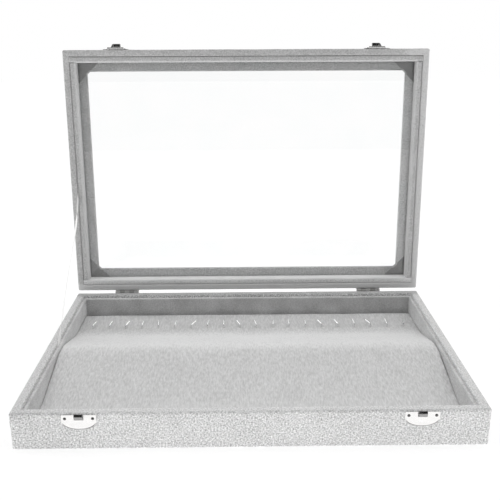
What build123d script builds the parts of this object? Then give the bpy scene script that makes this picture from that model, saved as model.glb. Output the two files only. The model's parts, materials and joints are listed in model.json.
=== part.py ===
from build123d import *
import os
from math import atan, cos, radians, sin, sqrt

# Jewelry display tray, in millimetres
# The origin is the centre of the underside, +Z is up, the hooks face the rear, +Y

# Overall sizes: the common size of a tray with one row of hooks and a window lid
tray_width = 350.0
tray_depth = 240.0
base_height = 30.0
lid_height = 15.0
closed_gap = 0.3  # between the two rims when shut

# Pose in the photo, both measured from shut
lid_open_angle = 92.6
hood_open_angle = 150.0

# Sheet goods
velvet = 0.8
base_board = 5.4
lid_board = 4.4
floor_board = 3.0
under_sheet = 0.6
panel_board = 2.0
glass = 2.0
turn_in = 12.0  # velvet folded under the box and under the pad
box_corner = 2.5
rim_round_outer = 1.5
rim_round_inner = 1.2
lid_rim_bevel = 0.8
sheet_margin = 3.0  # plain strip of velvet left round the underside sheet

# Liners: velvet-wrapped card strips inside the walls
base_liner = 3.0
base_liner_drop = 2.8
base_liner_round = 1.2
base_liner_back_round = 0.6
lid_liner = 6.0
lid_liner_drop = 0.5
lid_liner_round = 2.0
lid_liner_back_round = 1.0

# Window in the lid
window_margin = 20.5
window_chamfer = 2.5
window_bevel = 0.5
pane_play = 0.3

# Insert pad: heights are above the floor board
pad_side_gap = 0.7
pad_rear_gap = 6.0
pad_card = 1.6
pad_card_inset = 3.0
well_length = 50.3
well_height = 7.1
well_round = 100.0
crest_from_rear = 109.3
crest_height = 21.25
crest_round = 63.0
apron_length = 37.0
apron_height = 5.6
apron_round = 120.0
front_edge_height = 3.6
front_edge_round = 2.0
rear_edge_round = 5.5
# The pad's height eases down towards its sides: distance in from the edge, share lost
pad_edge_sinks = [(0.0, 0.10), (0.9, 0.045), (6.0, 0.012)]

# Hooks
hook_count = 20
hook_end_margin = 12.3  # from the pad's side edge to the last hook
hook_wire = 1.1
hook_faces = 6
hook_from_rear = 35.0
hook_rise = 2.0  # wire seen standing above the velvet
hook_reach = 8.5
hook_slope = 10.0
hook_bend = 1.2
hook_bend_steps = 3
hook_bite = 0.4  # left under the wire in the card
# How far each hook is turned from straight back, in degrees, read by eye
hook_turns = [16, 14, 20, 6, -4, 7, 32, 5, -3, -24, -15, 5, -5, 0, -28, -22, -8, -33, -7, 9]

# Hardware
hinge_from_side = 50.3
hinge_width = 24.0
hinge_plate = 0.8
hinge_reach = 10.0
hinge_knuckles = 5
knuckle_radius = 1.5
knuckle_gap = 0.2
leaf_gap = 1.55  # from the axis to the straight edge of a leaf
leaf_corner = 1.6
hinge_stand_off = 0.1
hinge_pin = 0.75
running_fit = 0.05
catch_from_side = 50.5
catch_width = 25.4
catch_plate = 0.6
catch_top_gap = 1.3
catch_end_height = 5.4
catch_drop = 6.3
catch_corner = 0.8
nose_half = 3.1
nose_slot_gap = 0.3
nose_root = 1.2  # above the bend line of the plate
nose_out = 2.65  # from the box face to the nose's outside
nose_mid = 2.5
nose_tip_out = 1.1
nose_height = 5.3
latch_width = 24.4
latch_rim_gap = 2.9
latch_end_height = 2.5
latch_rise = 7.7
latch_notch = 0.8
barrel_radius = 1.1
barrel_half = 5.0
barrel_end = 7.7
barrel_play = 0.2
latch_pin = 0.5
latch_axis_out = 1.3  # barrel axis in front of the box face
latch_axis_up = 2.0  # barrel axis above the lid's rim
hood_sheet = 0.4
hood_length = 8.7
hood_tip_half = 3.7
hood_step = 0.7  # how far its face is pressed out past the barrel
hood_lip = 0.5
hood_corner = 1.2
nail_radius = 0.6
nail_head = 1.2
nail_dome = 0.7
nail_length = 5.0
nail_point = 0.9
nail_tip = 0.12
nail_faces = 6
hinge_nail_half = 8.0
hinge_nail_drop = 6.2
catch_nail_half = 10.1
catch_nail_drop = 3.0
latch_nail_half = 8.0
latch_nail_rise = 3.1

# Stay ribbon
ribbon_width = 6.0
ribbon_thick = 0.3
ribbon_tail = 11.0
ribbon_twist = 16.0
stay_on_lid = 94.6  # from the hinge axis along the lid
stay_on_base = 116.0  # from the rear face forward
ribbon_flat_low = 4.3  # lies flat in the base seam up to here
ribbon_flat_high = 3.3  # and again this close to the lid seam
pocket_long = 14.0  # the slit behind a liner for the glued tail
pocket_short = 4.0
pocket_deep = 12.0
lid_pocket_short = 8.0

# Levels and faces that follow from the sizes
half_w = tray_width / 2
half_d = tray_depth / 2
hinge_x = half_w - hinge_from_side
catch_x = half_w - catch_from_side
base_wall = base_board + 2 * velvet
lid_wall = lid_board + 2 * velvet
lid_panel = panel_board + 2 * velvet
board_low = under_sheet + velvet
floor_top = board_low + floor_board
base_top = base_height - velvet
base_liner_top = base_height - base_liner_drop
lid_low = base_height + closed_gap
lid_top = lid_low + lid_height
panel_low = lid_top - lid_panel
glass_low = panel_low - glass
well_x = half_w - base_wall
well_y = half_d - base_wall
lid_well_x = half_w - lid_wall
lid_well_y = half_d - lid_wall
hinge_y = half_d + knuckle_radius + hinge_stand_off
hinge_z = base_height + closed_gap / 2
latch_y = -half_d - latch_axis_out
latch_z = lid_low + latch_axis_up
catch_top = base_height - catch_top_gap
catch_bend = catch_top - catch_end_height
hinge_line = Axis((0, hinge_y, hinge_z), (1, 0, 0))
latch_line = Axis((0, latch_y, latch_z), (1, 0, 0))


def block(x0, x1, y0, y1, z0, z1):
    """A plain box between limits."""
    middle = Pos((x0 + x1) / 2, (y0 + y1) / 2, (z0 + z1) / 2)
    return middle * Box(x1 - x0, y1 - y0, z1 - z0)


def slab(width, depth, low, high, corner=0.0):
    """A centred box between two heights, its upright corners rounded."""
    shape = Pos(0, 0, (low + high) / 2) * Box(width, depth, high - low)
    if corner > 0:
        shape = fillet(shape.edges().filter_by(Axis.Z), corner)
    return shape


def rod(radius, x0, x1, y, z):
    """A round bar along X."""
    return Pos((x0 + x1) / 2, y, z) * Rot(0, 90, 0) * Cylinder(radius, x1 - x0)


def prism(outline, x0, x1):
    """A closed outline of (y, z) pairs pushed along X."""
    face = make_face(Polyline([(0, y, z) for y, z in outline], close=True))
    return Pos(x0, 0, 0) * extrude(face, amount=x1 - x0, dir=(1, 0, 0))


def lift(shape):
    """Carries a piece of the shut lid to the open pose of the photo."""
    return shape.rotate(hinge_line, -lid_open_angle)


def unlatch(shape):
    """Carries a latched hood to its open stop on the lid."""
    return lift(shape.rotate(latch_line, -hood_open_angle))


def round_rim(shape, outer, inner):
    """Rounds the two edges of a ring's top face."""
    top = shape.faces().sort_by(Axis.Z)[-1]
    shape = fillet(top.outer_wire().edges(), outer)
    top = shape.faces().sort_by(Axis.Z)[-1]
    return fillet(top.inner_wires()[0].edges(), inner)


# Nails: a low domed head, a shank and a short point, with few faces
def disc(radius, y):
    """A many-sided section of a nail at a depth along +Y."""
    return Plane((0, y, 0), z_dir=(0, 1, 0)) * RegularPolygon(radius, nail_faces)


def nail():
    """One nail driven along +Y, the underside of its head at the origin."""
    shoulder = disc(nail_head * 0.88, -nail_dome * 0.55)
    straight = nail_length - nail_point
    dome = loft([disc(nail_head * 0.5, -nail_dome), shoulder], ruled=True)
    rim = loft([shoulder, disc(nail_head, 0)], ruled=True)
    shank = extrude(disc(nail_radius, 0), amount=straight, dir=(0, 1, 0))
    point = loft([disc(nail_radius, straight), disc(nail_tip, nail_length)], ruled=True)
    return dome + rim + shank + point


nail_shape = nail()


def front_nails(centre, half, z):
    """A pair of nails in a plate on the front faces."""
    face = -half_d - catch_plate
    return [Pos(centre + s * half, face, z) * nail_shape for s in (-1, 1)]


def rear_nails(centre, z):
    """A pair of nails in a hinge leaf on the rear faces."""
    face = half_d + hinge_plate
    return [Pos(centre + s * hinge_nail_half, face, z) * Rot(0, 0, 180) * nail_shape for s in (-1, 1)]


catch_nail_z = catch_top - catch_nail_drop
latch_nail_z = lid_low + latch_rim_gap + latch_nail_rise
catch_nails = {s: front_nails(s * catch_x, catch_nail_half, catch_nail_z) for s in (-1, 1)}
base_hinge_nails = {s: rear_nails(s * hinge_x, hinge_z - hinge_nail_drop) for s in (-1, 1)}
latch_nails = {s: front_nails(s * catch_x, latch_nail_half, latch_nail_z) for s in (-1, 1)}
lid_hinge_nails = {s: rear_nails(s * hinge_x, hinge_z + hinge_nail_drop) for s in (-1, 1)}
front_base = catch_nails[-1] + catch_nails[1]
rear_base = base_hinge_nails[-1] + base_hinge_nails[1]
front_lid = latch_nails[-1] + latch_nails[1]
rear_lid = lid_hinge_nails[-1] + lid_hinge_nails[1]


# Base box: boards inside one velvet cover
def wall_boards(board, low, high):
    """Front, back, left and right boards of a frame, butted with the sides between."""
    x = half_w - velvet
    y = half_d - velvet
    front = block(-x, x, -y, -y + board, low, high)
    front = fillet(front.edges().filter_by(Axis.Z).group_by(Axis.Y)[0], box_corner - velvet)
    back = block(-x, x, y - board, y, low, high)
    back = fillet(back.edges().filter_by(Axis.Z).group_by(Axis.Y)[-1], box_corner - velvet)
    left = block(-x, -x + board, -y + board, y - board, low, high)
    right = block(x - board, x, -y + board, y - board, low, high)
    return front, back, left, right


def base_cover():
    """Velvet outside, over the rim, down the inside and turned in underneath."""
    cover = slab(tray_width, tray_depth, under_sheet, base_height, box_corner)
    cover -= slab(2 * well_x, 2 * well_y, floor_top, base_height)
    cover = round_rim(cover, rim_round_outer, rim_round_inner)
    carcass = slab(
        tray_width - 2 * velvet, tray_depth - 2 * velvet, board_low, base_top, box_corner - velvet
    )
    carcass -= slab(2 * (well_x + velvet), 2 * (well_y + velvet), floor_top, base_top)
    window = slab(tray_width - 2 * turn_in, tray_depth - 2 * turn_in, under_sheet, board_low)
    return cover - carcass - window


base_front, base_back, base_left, base_right = wall_boards(base_board, board_low, base_top)
base_front -= front_base
base_back -= rear_base
base_floor = slab(2 * (well_x + velvet), 2 * (well_y + velvet), board_low, floor_top)
base_velvet = base_cover() - front_base - rear_base
underside = slab(tray_width - 2 * sheet_margin, tray_depth - 2 * sheet_margin, 0, under_sheet, sheet_margin)


# Base liners
def liner(x0, x1, y0, y1, low, high, inner, outer):
    """A wrapped strip whose long top edges are rounded, towards the room and by the wall."""
    strip = block(x0, x1, y0, y1, low, high)
    along, across = (Axis.X, Axis.Y) if x1 - x0 > y1 - y0 else (Axis.Y, Axis.X)
    by_wall = -1 if x0 + y0 + x1 + y1 > 0 else 0
    for pick, radius in ((-1 - by_wall, inner), (by_wall, outer)):
        top = strip.edges().filter_by(along).group_by(Axis.Z)[-1].sort_by(across)
        strip = fillet(top[pick], radius)
    return strip


def base_strip(x0, x1, y0, y1):
    """A liner of the base, standing on the floor board."""
    return liner(x0, x1, y0, y1, floor_top, base_liner_top, base_liner_round, base_liner_back_round)


liner_x = well_x - base_liner
liner_y = well_y - base_liner
base_liner_front = base_strip(-well_x, well_x, -well_y, -liner_y)
base_liner_back = base_strip(-well_x, well_x, liner_y, well_y)
base_liner_left = base_strip(-well_x, -liner_x, -liner_y, liner_y)
base_liner_right = base_strip(liner_x, well_x, -liner_y, liner_y)
stay_y = half_d - stay_on_base
base_liner_left -= block(
    -well_x,
    -well_x + ribbon_thick,
    stay_y - pocket_long,
    stay_y + pocket_short,
    floor_top + pocket_deep,
    base_height,
)

# Insert pad: its length runs along Y, from the rear edge to the front edge
pad_half = liner_x - pad_side_gap
pad_rear = half_d - base_wall - pad_rear_gap
pad_front = -liner_y + pad_side_gap


def pad_section(x, sink, inset):
    """The pad cut across the tray: straight runs joined by arcs, sunk by a share of its height."""
    k = 1 - sink
    behind = (crest_height - well_height) / (crest_from_rear - well_length)
    before = (crest_height - apron_height) / (pad_rear - crest_from_rear - pad_front - apron_length)
    half_turn = (atan(behind) + atan(before)) / 2
    crest_corner = crest_height + crest_round * (1 / cos(half_turn) - 1)
    corners = [
        (pad_rear, 0, 0),
        (pad_rear, well_height * k, rear_edge_round),
        (pad_rear - well_length, well_height * k, well_round),
        (pad_rear - crest_from_rear, crest_corner * k, crest_round),
        (pad_front + apron_length, apron_height * k, apron_round),
        (pad_front, front_edge_height * k, front_edge_round),
        (pad_front, 0, 0),
    ]
    face = make_face(Polyline([(y, floor_top + h) for y, h, _ in corners], close=True))
    for y, h, radius in corners:
        if radius > 0:
            vertex = face.vertices().sort_by_distance((y, floor_top + h, 0))[0]
            face = fillet(vertex, radius)
    if inset > 0:
        face = offset(face, amount=-inset, kind=Kind.INTERSECTION)
    return Plane((x, 0, 0), x_dir=(0, 1, 0), z_dir=(1, 0, 0)) * face


def pad_form(inset):
    """The crowned pad: highest along the middle, eased down towards its side edges."""
    half = pad_half - inset
    left = [pad_section(edge - half, sink, inset) for edge, sink in pad_edge_sinks]
    right = [pad_section(half - edge, sink, inset) for edge, sink in reversed(pad_edge_sinks)]
    return loft(left + [pad_section(0, 0, inset)] + right, ruled=True)


# Hooks: bent wires pushed through the pad into its card
hook_y = pad_rear - hook_from_rear
card_low = floor_top + velvet
card_high = card_low + pad_card
hook_foot = card_low + hook_bite
hook_top = floor_top + well_height + hook_rise
hook_pitch = 2 * (pad_half - hook_end_margin) / (hook_count - 1)
hook_xs = [(i - (hook_count - 1) / 2) * hook_pitch for i in range(hook_count)]
hook_section = RegularPolygon(hook_wire / 2, hook_faces)


def hook():
    """One hook standing on the Z axis: a stem, a bend in short chords, an arm along +Y."""
    slope = radians(hook_slope)
    knee = hook_top - hook_bend * cos(slope) + hook_wire / 2
    path = [(0, 0, hook_foot)]
    for step in range(hook_bend_steps + 1):
        turn = radians(90 - hook_slope) * step / hook_bend_steps
        path.append((0, hook_bend * (1 - cos(turn)), knee + hook_bend * sin(turn)))
    _, end_y, end_z = path[-1]
    arm = hook_reach - end_y
    path.append((0, hook_reach, end_z + arm * sin(slope) / cos(slope)))
    return sweep(
        Plane((0, 0, hook_foot)) * hook_section, path=Polyline(path), transition=Transition.RIGHT
    )


hook_shape = hook()
hooks = [Pos(x, hook_y, 0) * Rot(0, 0, -turn) * hook_shape for x, turn in zip(hook_xs, hook_turns)]
hook_stem = extrude(Plane((0, 0, hook_foot)) * hook_section, amount=hook_top - hook_foot)
hook_holes = [Pos(x, hook_y, 0) * Rot(0, 0, -turn) * hook_stem for x, turn in zip(hook_xs, hook_turns)]
pad_core = pad_form(velvet)
pad_board = block(
    pad_card_inset - pad_half,
    pad_half - pad_card_inset,
    pad_front + pad_card_inset,
    pad_rear - pad_card_inset,
    card_low,
    card_high,
)
pad_foam = pad_core - pad_board - hook_holes
pad_board -= hook_holes
pad_window = block(
    turn_in - pad_half, pad_half - turn_in, pad_front + turn_in, pad_rear - turn_in, floor_top, card_low
)
pad_velvet = pad_form(0) - pad_core - pad_window - hook_holes


# Catch on the base: plate with a stamped nose
def moon(width, bend, end, drop):
    """A plate outline of (x, z): straight rim side, short ends, half-ellipse beyond."""
    step = 1 if drop > 0 else -1
    ends = Pos(0, (end + bend) / 2) * Rectangle(width, abs(bend - end))
    bow = Pos(0, bend) * Ellipse(width / 2, abs(drop))
    keep = Pos(0, bend + step * abs(drop)) * Rectangle(width + 2, 2 * abs(drop))
    return ends + (bow & keep)


def front_plate(sketch, thick):
    """A sketch of (x, z) stood on the front face of the box."""
    stood = Plane((0, -half_d, 0), x_dir=(1, 0, 0), z_dir=(0, -1, 0)) * sketch
    return extrude(stood, amount=thick)


def catch():
    """The catch plate, with its nose cut on three sides and bowed out over its slot."""
    plate = front_plate(moon(catch_width, catch_bend, catch_top, -catch_drop), catch_plate)
    plate = fillet(plate.edges().filter_by(Axis.Y).group_by(Axis.Z)[-1], catch_corner)
    face = -half_d
    root = catch_bend + nose_root
    t = catch_plate
    slot_half = nose_half + nose_slot_gap
    slot = block(-slot_half, slot_half, face - 1, face + 1, root, catch_top + 1)
    outer = ThreePointArc(
        (0, face - t, root),
        (0, face - nose_out, root + nose_mid),
        (0, face - nose_tip_out, root + nose_height),
    )
    inner = ThreePointArc(
        (0, face - nose_tip_out + t / 2, root + nose_height - t / 2),
        (0, face - nose_out + t, root + nose_mid),
        (0, face, root + t),
    )
    foot = Polyline(inner @ 1, (0, face, root - t), (0, face - t, root - t), outer @ 0)
    side = make_face([outer, Line(outer @ 1, inner @ 0), inner, foot])
    nose = Pos(-nose_half, 0, 0) * extrude(side, amount=2 * nose_half, dir=(1, 0, 0))
    return plate - slot + nose


catch_shape = catch()
catches = {s: Pos(s * catch_x, 0, 0) * catch_shape - catch_nails[s] for s in (-1, 1)}


# Latch on the lid: plate with two barrels, and the pressed hood on their pin
def latch():
    """The latch plate with a barrel at each side of the gap for the hood."""
    low = lid_low + latch_rim_gap
    bend = low + latch_end_height
    plate = front_plate(moon(latch_width, bend, low, latch_rise), catch_plate)
    gap = barrel_half + barrel_play
    face = -half_d
    plate -= block(-gap - 0.1, gap + 0.1, face - 1, face + 1, low - 1, low + latch_notch)
    for s in (-1, 1):
        x0, x1 = sorted((s * gap, s * barrel_end))
        plate += block(x0, x1, face - catch_plate, face, latch_z, low + 0.1)
        plate += rod(barrel_radius, x0, x1, latch_y, latch_z)
        plate -= rod(latch_pin, x0 - 0.1, x1 + 0.1, latch_y, latch_z)
    return plate


def hood_taper(top, tip, low):
    """The hood seen from the front, as a sketch of (x, z)."""
    high = latch_z + 0.1
    outline = Polyline((-top, high), (top, high), (tip, low), (-tip, low), close=True)
    face = make_face(outline)
    return fillet(face.vertices().group_by(Axis.Y)[0], hood_corner)


def hood():
    """The pressed hood in its latched place: joggled face, side flanges and end lip."""
    y, z = latch_y, latch_z
    out = latch_axis_out + hood_step
    low = z - hood_length
    t = hood_sheet
    lip = low + hood_lip
    skin = prism(
        [
            (y + 0.2, z - 1.5),
            (y - barrel_radius, z - 0.5),
            (y - out, z - 2.6),
            (y - out, low + 0.6),
            (y - out + 0.2, low + 0.18),
            (y - out + 0.6, low),
            (y + 0.2, low),
        ],
        -8,
        8,
    )
    void = prism(
        [
            (y + 0.3, z - 1.0),
            (y - barrel_radius + t, z - 0.5),
            (y - out + t, z - 2.7),
            (y - out + t, lip + 0.1),
            (y - out + t + 0.1, lip),
            (y + 0.3, lip),
        ],
        -8,
        8,
    )
    wide = front_plate(hood_taper(barrel_half, hood_tip_half, low), 5)
    narrow = front_plate(hood_taper(barrel_half - t, hood_tip_half - t, low + 0.1), 5)
    shell = (skin & wide) - (void & narrow)
    shell -= block(-8, 8, y - 0.2, y + 1, low - 0.1, low + 1.1)
    shell -= rod(barrel_radius + 0.05, -8, 8, y, z)
    neck = prism(
        [
            (y - barrel_radius, z),
            (y - barrel_radius - 0.12, z - 0.7),
            (y - out + 0.2, z - 2.4),
            (y - out + t, z - 2.7),
            (y - barrel_radius + t, z - 0.9),
            (y - barrel_radius + 0.3, z),
        ],
        -barrel_half,
        barrel_half,
    )
    barrel = rod(barrel_radius, -barrel_half, barrel_half, y, z)
    return shell + neck + barrel - rod(latch_pin + running_fit, -8, 8, y, z)


latch_shape = latch()
latches = {s: Pos(s * catch_x, 0, 0) * latch_shape - latch_nails[s] for s in (-1, 1)}
hood_shape = hood()
pin_shape = rod(latch_pin, -barrel_end, barrel_end, latch_y, latch_z)


# Hinges: leaves with knuckles round one pin
def hinge_leaf(side):
    """A leaf below the axis for side -1 or above it for side 1, with its own knuckles."""
    near = hinge_z + side * leaf_gap
    far = hinge_z + side * hinge_reach
    low, high = sorted((near, far))
    half = hinge_width / 2
    leaf = block(-half, half, half_d, half_d + hinge_plate, low, high)
    ends = leaf.edges().filter_by(Axis.Y).group_by(Axis.Z)
    leaf = fillet(ends[0] if side < 0 else ends[-1], leaf_corner)
    pitch = hinge_width / hinge_knuckles
    own = range(0, hinge_knuckles, 2) if side < 0 else range(1, hinge_knuckles, 2)
    low, high = sorted((near, hinge_z))
    for i in own:
        x0 = -half + i * pitch + knuckle_gap / 2
        x1 = x0 + pitch - knuckle_gap
        leaf += block(x0, x1, half_d, half_d + hinge_plate, low, high)
        leaf += rod(knuckle_radius, x0, x1, hinge_y, hinge_z)
    bore = hinge_pin if side < 0 else hinge_pin + running_fit
    return leaf - rod(bore, -half - 1, half + 1, hinge_y, hinge_z)


base_leaf = hinge_leaf(-1)
lid_leaf = hinge_leaf(1)
base_leaves = {s: Pos(s * hinge_x, 0, 0) * base_leaf - base_hinge_nails[s] for s in (-1, 1)}
lid_leaves = {s: Pos(s * hinge_x, 0, 0) * lid_leaf - lid_hinge_nails[s] for s in (-1, 1)}
hinge_rod = rod(hinge_pin, -hinge_width / 2, hinge_width / 2, hinge_y, hinge_z)


# Lid, built shut
def window_slab(margin, low, high, chamfered):
    """The window opening between two heights, its corners cut a little."""
    opening = slab(tray_width - 2 * margin, tray_depth - 2 * margin, low, high)
    return chamfer(opening.edges().filter_by(Axis.Z), chamfered)


def lid_cover():
    """Velvet over the lid frame, turned round the window edge in four flaps."""
    cover = slab(tray_width, tray_depth, lid_low, lid_top, box_corner)
    cover = fillet(cover.faces().sort_by(Axis.Z)[-1].edges(), rim_round_outer)
    cover -= slab(2 * lid_well_x, 2 * lid_well_y, lid_low, panel_low)
    cover -= window_slab(window_margin, panel_low, lid_top, window_chamfer)
    rim = cover.faces().sort_by(Axis.Z)[0]
    cover = chamfer(rim.edges(), lid_rim_bevel)
    edge = cover.faces().sort_by(Axis.Z)[-1].inner_wires()[0].edges()
    cover = chamfer(edge, window_bevel)
    carcass = slab(
        tray_width - 2 * velvet,
        tray_depth - 2 * velvet,
        lid_low + velvet,
        lid_top - velvet,
        box_corner - velvet,
    )
    carcass -= slab(
        2 * (lid_well_x + velvet), 2 * (lid_well_y + velvet), lid_low + velvet, panel_low + velvet
    )
    carcass -= window_slab(window_margin - velvet, panel_low, lid_top, window_chamfer)
    return cover - carcass - flap_cuts()


def flap_cuts():
    """The four corners the velvet flaps leave bare inside the lid."""
    leg = 2 * (window_margin - lid_wall) + window_chamfer
    cuts = []
    for sx in (-1, 1):
        for sy in (-1, 1):
            x = sx * lid_well_x
            y = sy * lid_well_y
            corner = Polyline((x, y), (x - sx * leg, y), (x, y - sy * leg), close=True)
            cuts.append(extrude(Pos(0, 0, panel_low) * make_face(corner), amount=velvet, dir=(0, 0, 1)))
    return cuts


lid_front, lid_back, lid_left, lid_right = wall_boards(lid_board, lid_low + velvet, lid_top - velvet)
lid_front -= front_lid
lid_back -= rear_lid
lid_velvet = lid_cover() - front_lid - rear_lid
lid_board_panel = slab(
    2 * (lid_well_x + velvet), 2 * (lid_well_y + velvet), panel_low + velvet, lid_top - velvet
)
lid_board_panel -= window_slab(window_margin - velvet, panel_low, lid_top, window_chamfer)
pane = slab(2 * (lid_well_x - pane_play), 2 * (lid_well_y - pane_play), glass_low, panel_low)


def lid_strip(x0, x1, y0, y1):
    """A liner of the lid, rounded towards the rim."""
    low = lid_low + lid_liner_drop
    strip = liner(x0, x1, y0, y1, 0, glass_low - low, lid_liner_round, lid_liner_back_round)
    return Pos(0, 0, glass_low) * mirror(strip, Plane.XY)


lid_in_x = lid_well_x - lid_liner
lid_in_y = lid_well_y - lid_liner
lid_liner_front = lid_strip(-lid_well_x, lid_well_x, -lid_well_y, -lid_in_y)
lid_liner_back = lid_strip(-lid_well_x, lid_well_x, lid_in_y, lid_well_y)
lid_liner_left = lid_strip(-lid_well_x, -lid_in_x, -lid_in_y, lid_in_y)
lid_liner_right = lid_strip(lid_in_x, lid_well_x, -lid_in_y, lid_in_y)
stay_lid_y = hinge_y - stay_on_lid
lid_liner_left -= block(
    -lid_well_x,
    -lid_well_x + ribbon_thick,
    stay_lid_y - pocket_long,
    stay_lid_y + lid_pocket_short,
    lid_low,
    glass_low,
)


# Stay ribbon, in the open pose
def ribbon():
    """A flat satin band from the seam of the base to the seam of the lid, a little twisted."""
    a = radians(lid_open_angle)
    start = (stay_y, base_height)
    end = (hinge_y + stay_on_lid * -cos(a), hinge_z + stay_on_lid * sin(a))
    run = sqrt((end[0] - start[0]) ** 2 + (end[1] - start[1]) ** 2)
    along = ((end[0] - start[0]) / run, (end[1] - start[1]) / run)
    x_base = -well_x + ribbon_thick / 2
    x_lid = -lid_well_x + ribbon_thick / 2
    free_low = ribbon_flat_low
    free_high = run - ribbon_flat_high
    stations = [
        (free_low, x_base, 0.0),
        (run * 0.15, x_base - 0.4, ribbon_twist * 0.8),
        (run * 0.35, x_base - 1.2, ribbon_twist),
        (run * 0.6, x_lid - 0.2, ribbon_twist * 0.7),
        (run * 0.82, x_lid, ribbon_twist * 0.9),
        (free_high, x_lid, 0.0),
    ]

    def point(s, x, twist, lean):
        turn = radians(twist)
        y = start[0] + along[0] * s - along[1] * lean * cos(turn)
        z = start[1] + along[1] * s + along[0] * lean * cos(turn)
        return (x + lean * sin(turn), y, z)

    half = ribbon_width / 2
    heading = (0, along[0], along[1])
    edges = []
    for lean in (-half, half):
        points = [point(s, x, twist, lean) for s, x, twist in stations]
        edges.append(Spline(points, tangents=[heading, heading]))
    band = Face.make_surface_from_curves(edges[0].edge(), edges[1].edge())
    free = thicken(band, amount=ribbon_thick / 2, both=True)
    tails = []
    for s0, s1, x in ((-ribbon_tail, free_low, x_base), (free_high, run + ribbon_tail, x_lid)):
        corners = [point(s, x, 0, lean) for s, lean in ((s0, -half), (s1, -half), (s1, half), (s0, half))]
        outline = [(c[1], c[2]) for c in corners]
        tails.append(prism(outline, x - ribbon_thick / 2, x + ribbon_thick / 2))
    return free + tails[0] + tails[1]


def group(shapes):
    """Several loose solids kept in one node."""
    return Compound(children=list(shapes))


# Every node of the tray, in the open pose
nodes = {
    "base_front_board": base_front,
    "base_back_board": base_back,
    "base_left_board": base_left,
    "base_right_board": base_right,
    "base_floor_board": base_floor,
    "base_velvet_cover": base_velvet,
    "underside_sheet": underside,
    "base_liner_front": base_liner_front,
    "base_liner_back": base_liner_back,
    "base_liner_left": base_liner_left,
    "base_liner_right": base_liner_right,
    "insert_board": pad_board,
    "insert_foam": pad_foam,
    "insert_velvet": pad_velvet,
}
for i, piece in enumerate(hooks):
    nodes["hook_%02d" % (i + 1)] = piece
nodes["catch_plate_left"] = catches[-1]
nodes["catch_plate_right"] = catches[1]
nodes["base_nails"] = group(front_base + rear_base)
nodes["hinge_base_leaf_left"] = base_leaves[-1]
nodes["hinge_base_leaf_right"] = base_leaves[1]
nodes["hinge_pins"] = group(Pos(s * hinge_x, 0, 0) * hinge_rod for s in (-1, 1))
nodes["lid_front_board"] = lift(lid_front)
nodes["lid_back_board"] = lift(lid_back)
nodes["lid_left_board"] = lift(lid_left)
nodes["lid_right_board"] = lift(lid_right)
nodes["lid_top_panel"] = lift(lid_board_panel)
nodes["lid_velvet_cover"] = lift(lid_velvet)
nodes["lid_liner_front"] = lift(lid_liner_front)
nodes["lid_liner_back"] = lift(lid_liner_back)
nodes["lid_liner_left"] = lift(lid_liner_left)
nodes["lid_liner_right"] = lift(lid_liner_right)
nodes["glass_pane"] = lift(pane)
nodes["latch_plate_left"] = lift(latches[-1])
nodes["latch_plate_right"] = lift(latches[1])
nodes["lid_nails"] = group([lift(n) for n in front_lid + rear_lid])
nodes["hasp_left"] = unlatch(Pos(-catch_x, 0, 0) * hood_shape)
nodes["hasp_right"] = unlatch(Pos(catch_x, 0, 0) * hood_shape)
nodes["hasp_pins"] = group(lift(Pos(s * catch_x, 0, 0) * pin_shape) for s in (-1, 1))
nodes["hinge_lid_leaf_left"] = lift(lid_leaves[-1])
nodes["hinge_lid_leaf_right"] = lift(lid_leaves[1])
nodes["stay_ribbon"] = ribbon()

os.makedirs("parts", exist_ok=True)
for name, shape in nodes.items():
    export_step(shape, "parts/%s.step" % name)
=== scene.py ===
"""Jewelry display tray: its velvet, wires, metal, glass and ribbon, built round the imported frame.

The file is laid out as a Blender add-on and is run as a script. Lengths are in metres. The lid's pieces
are worked out for the shut lid and are then carried round the hinge to its open place.
"""

import json
import math

import bmesh
import bpy
import numpy as np
from bpy.props import FloatProperty, FloatVectorProperty, IntProperty, PointerProperty
from mathutils import Matrix, Vector


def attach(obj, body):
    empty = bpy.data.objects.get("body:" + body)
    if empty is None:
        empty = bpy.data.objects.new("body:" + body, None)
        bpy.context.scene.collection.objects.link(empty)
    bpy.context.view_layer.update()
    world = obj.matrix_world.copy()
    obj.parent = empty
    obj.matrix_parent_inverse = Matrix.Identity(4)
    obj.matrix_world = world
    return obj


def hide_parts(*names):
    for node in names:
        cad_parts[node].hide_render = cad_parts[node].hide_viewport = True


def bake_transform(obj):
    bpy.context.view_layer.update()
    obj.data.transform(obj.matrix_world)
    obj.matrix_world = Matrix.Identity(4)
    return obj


bl_info = {
    "name": "Jewelry display tray",
    "version": (1, 0, 0),
    "blender": (4, 5, 0),
    "location": "3D View > Sidebar > Tray",
    "description": "Builds a velvet display tray with hooks and a window lid round its packed frame",
    "category": "Object",
}

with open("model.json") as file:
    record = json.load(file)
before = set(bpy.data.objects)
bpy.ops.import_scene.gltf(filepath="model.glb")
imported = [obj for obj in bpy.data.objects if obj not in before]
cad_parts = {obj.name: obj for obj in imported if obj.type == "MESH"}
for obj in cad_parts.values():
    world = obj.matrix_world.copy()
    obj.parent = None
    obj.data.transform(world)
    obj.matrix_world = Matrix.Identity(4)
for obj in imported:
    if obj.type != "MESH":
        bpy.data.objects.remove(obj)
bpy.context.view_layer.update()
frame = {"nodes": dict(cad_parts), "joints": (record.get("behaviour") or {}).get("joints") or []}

# The hinge as the frame states it: the lid rests open by the top of its joint's range
HINGE = next(joint for joint in frame["joints"] if joint["name"] == "lid_hinge")
HINGE_Y, HINGE_Z = HINGE["pos_m"][1:]
OPEN_ANGLE = math.radians(HINGE["range_deg"][1])

HOOKS = sorted(name for name in frame["nodes"] if name.startswith("hook_"))
SIDES = ("front", "back", "left", "right")


# Places read from the frame


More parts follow.
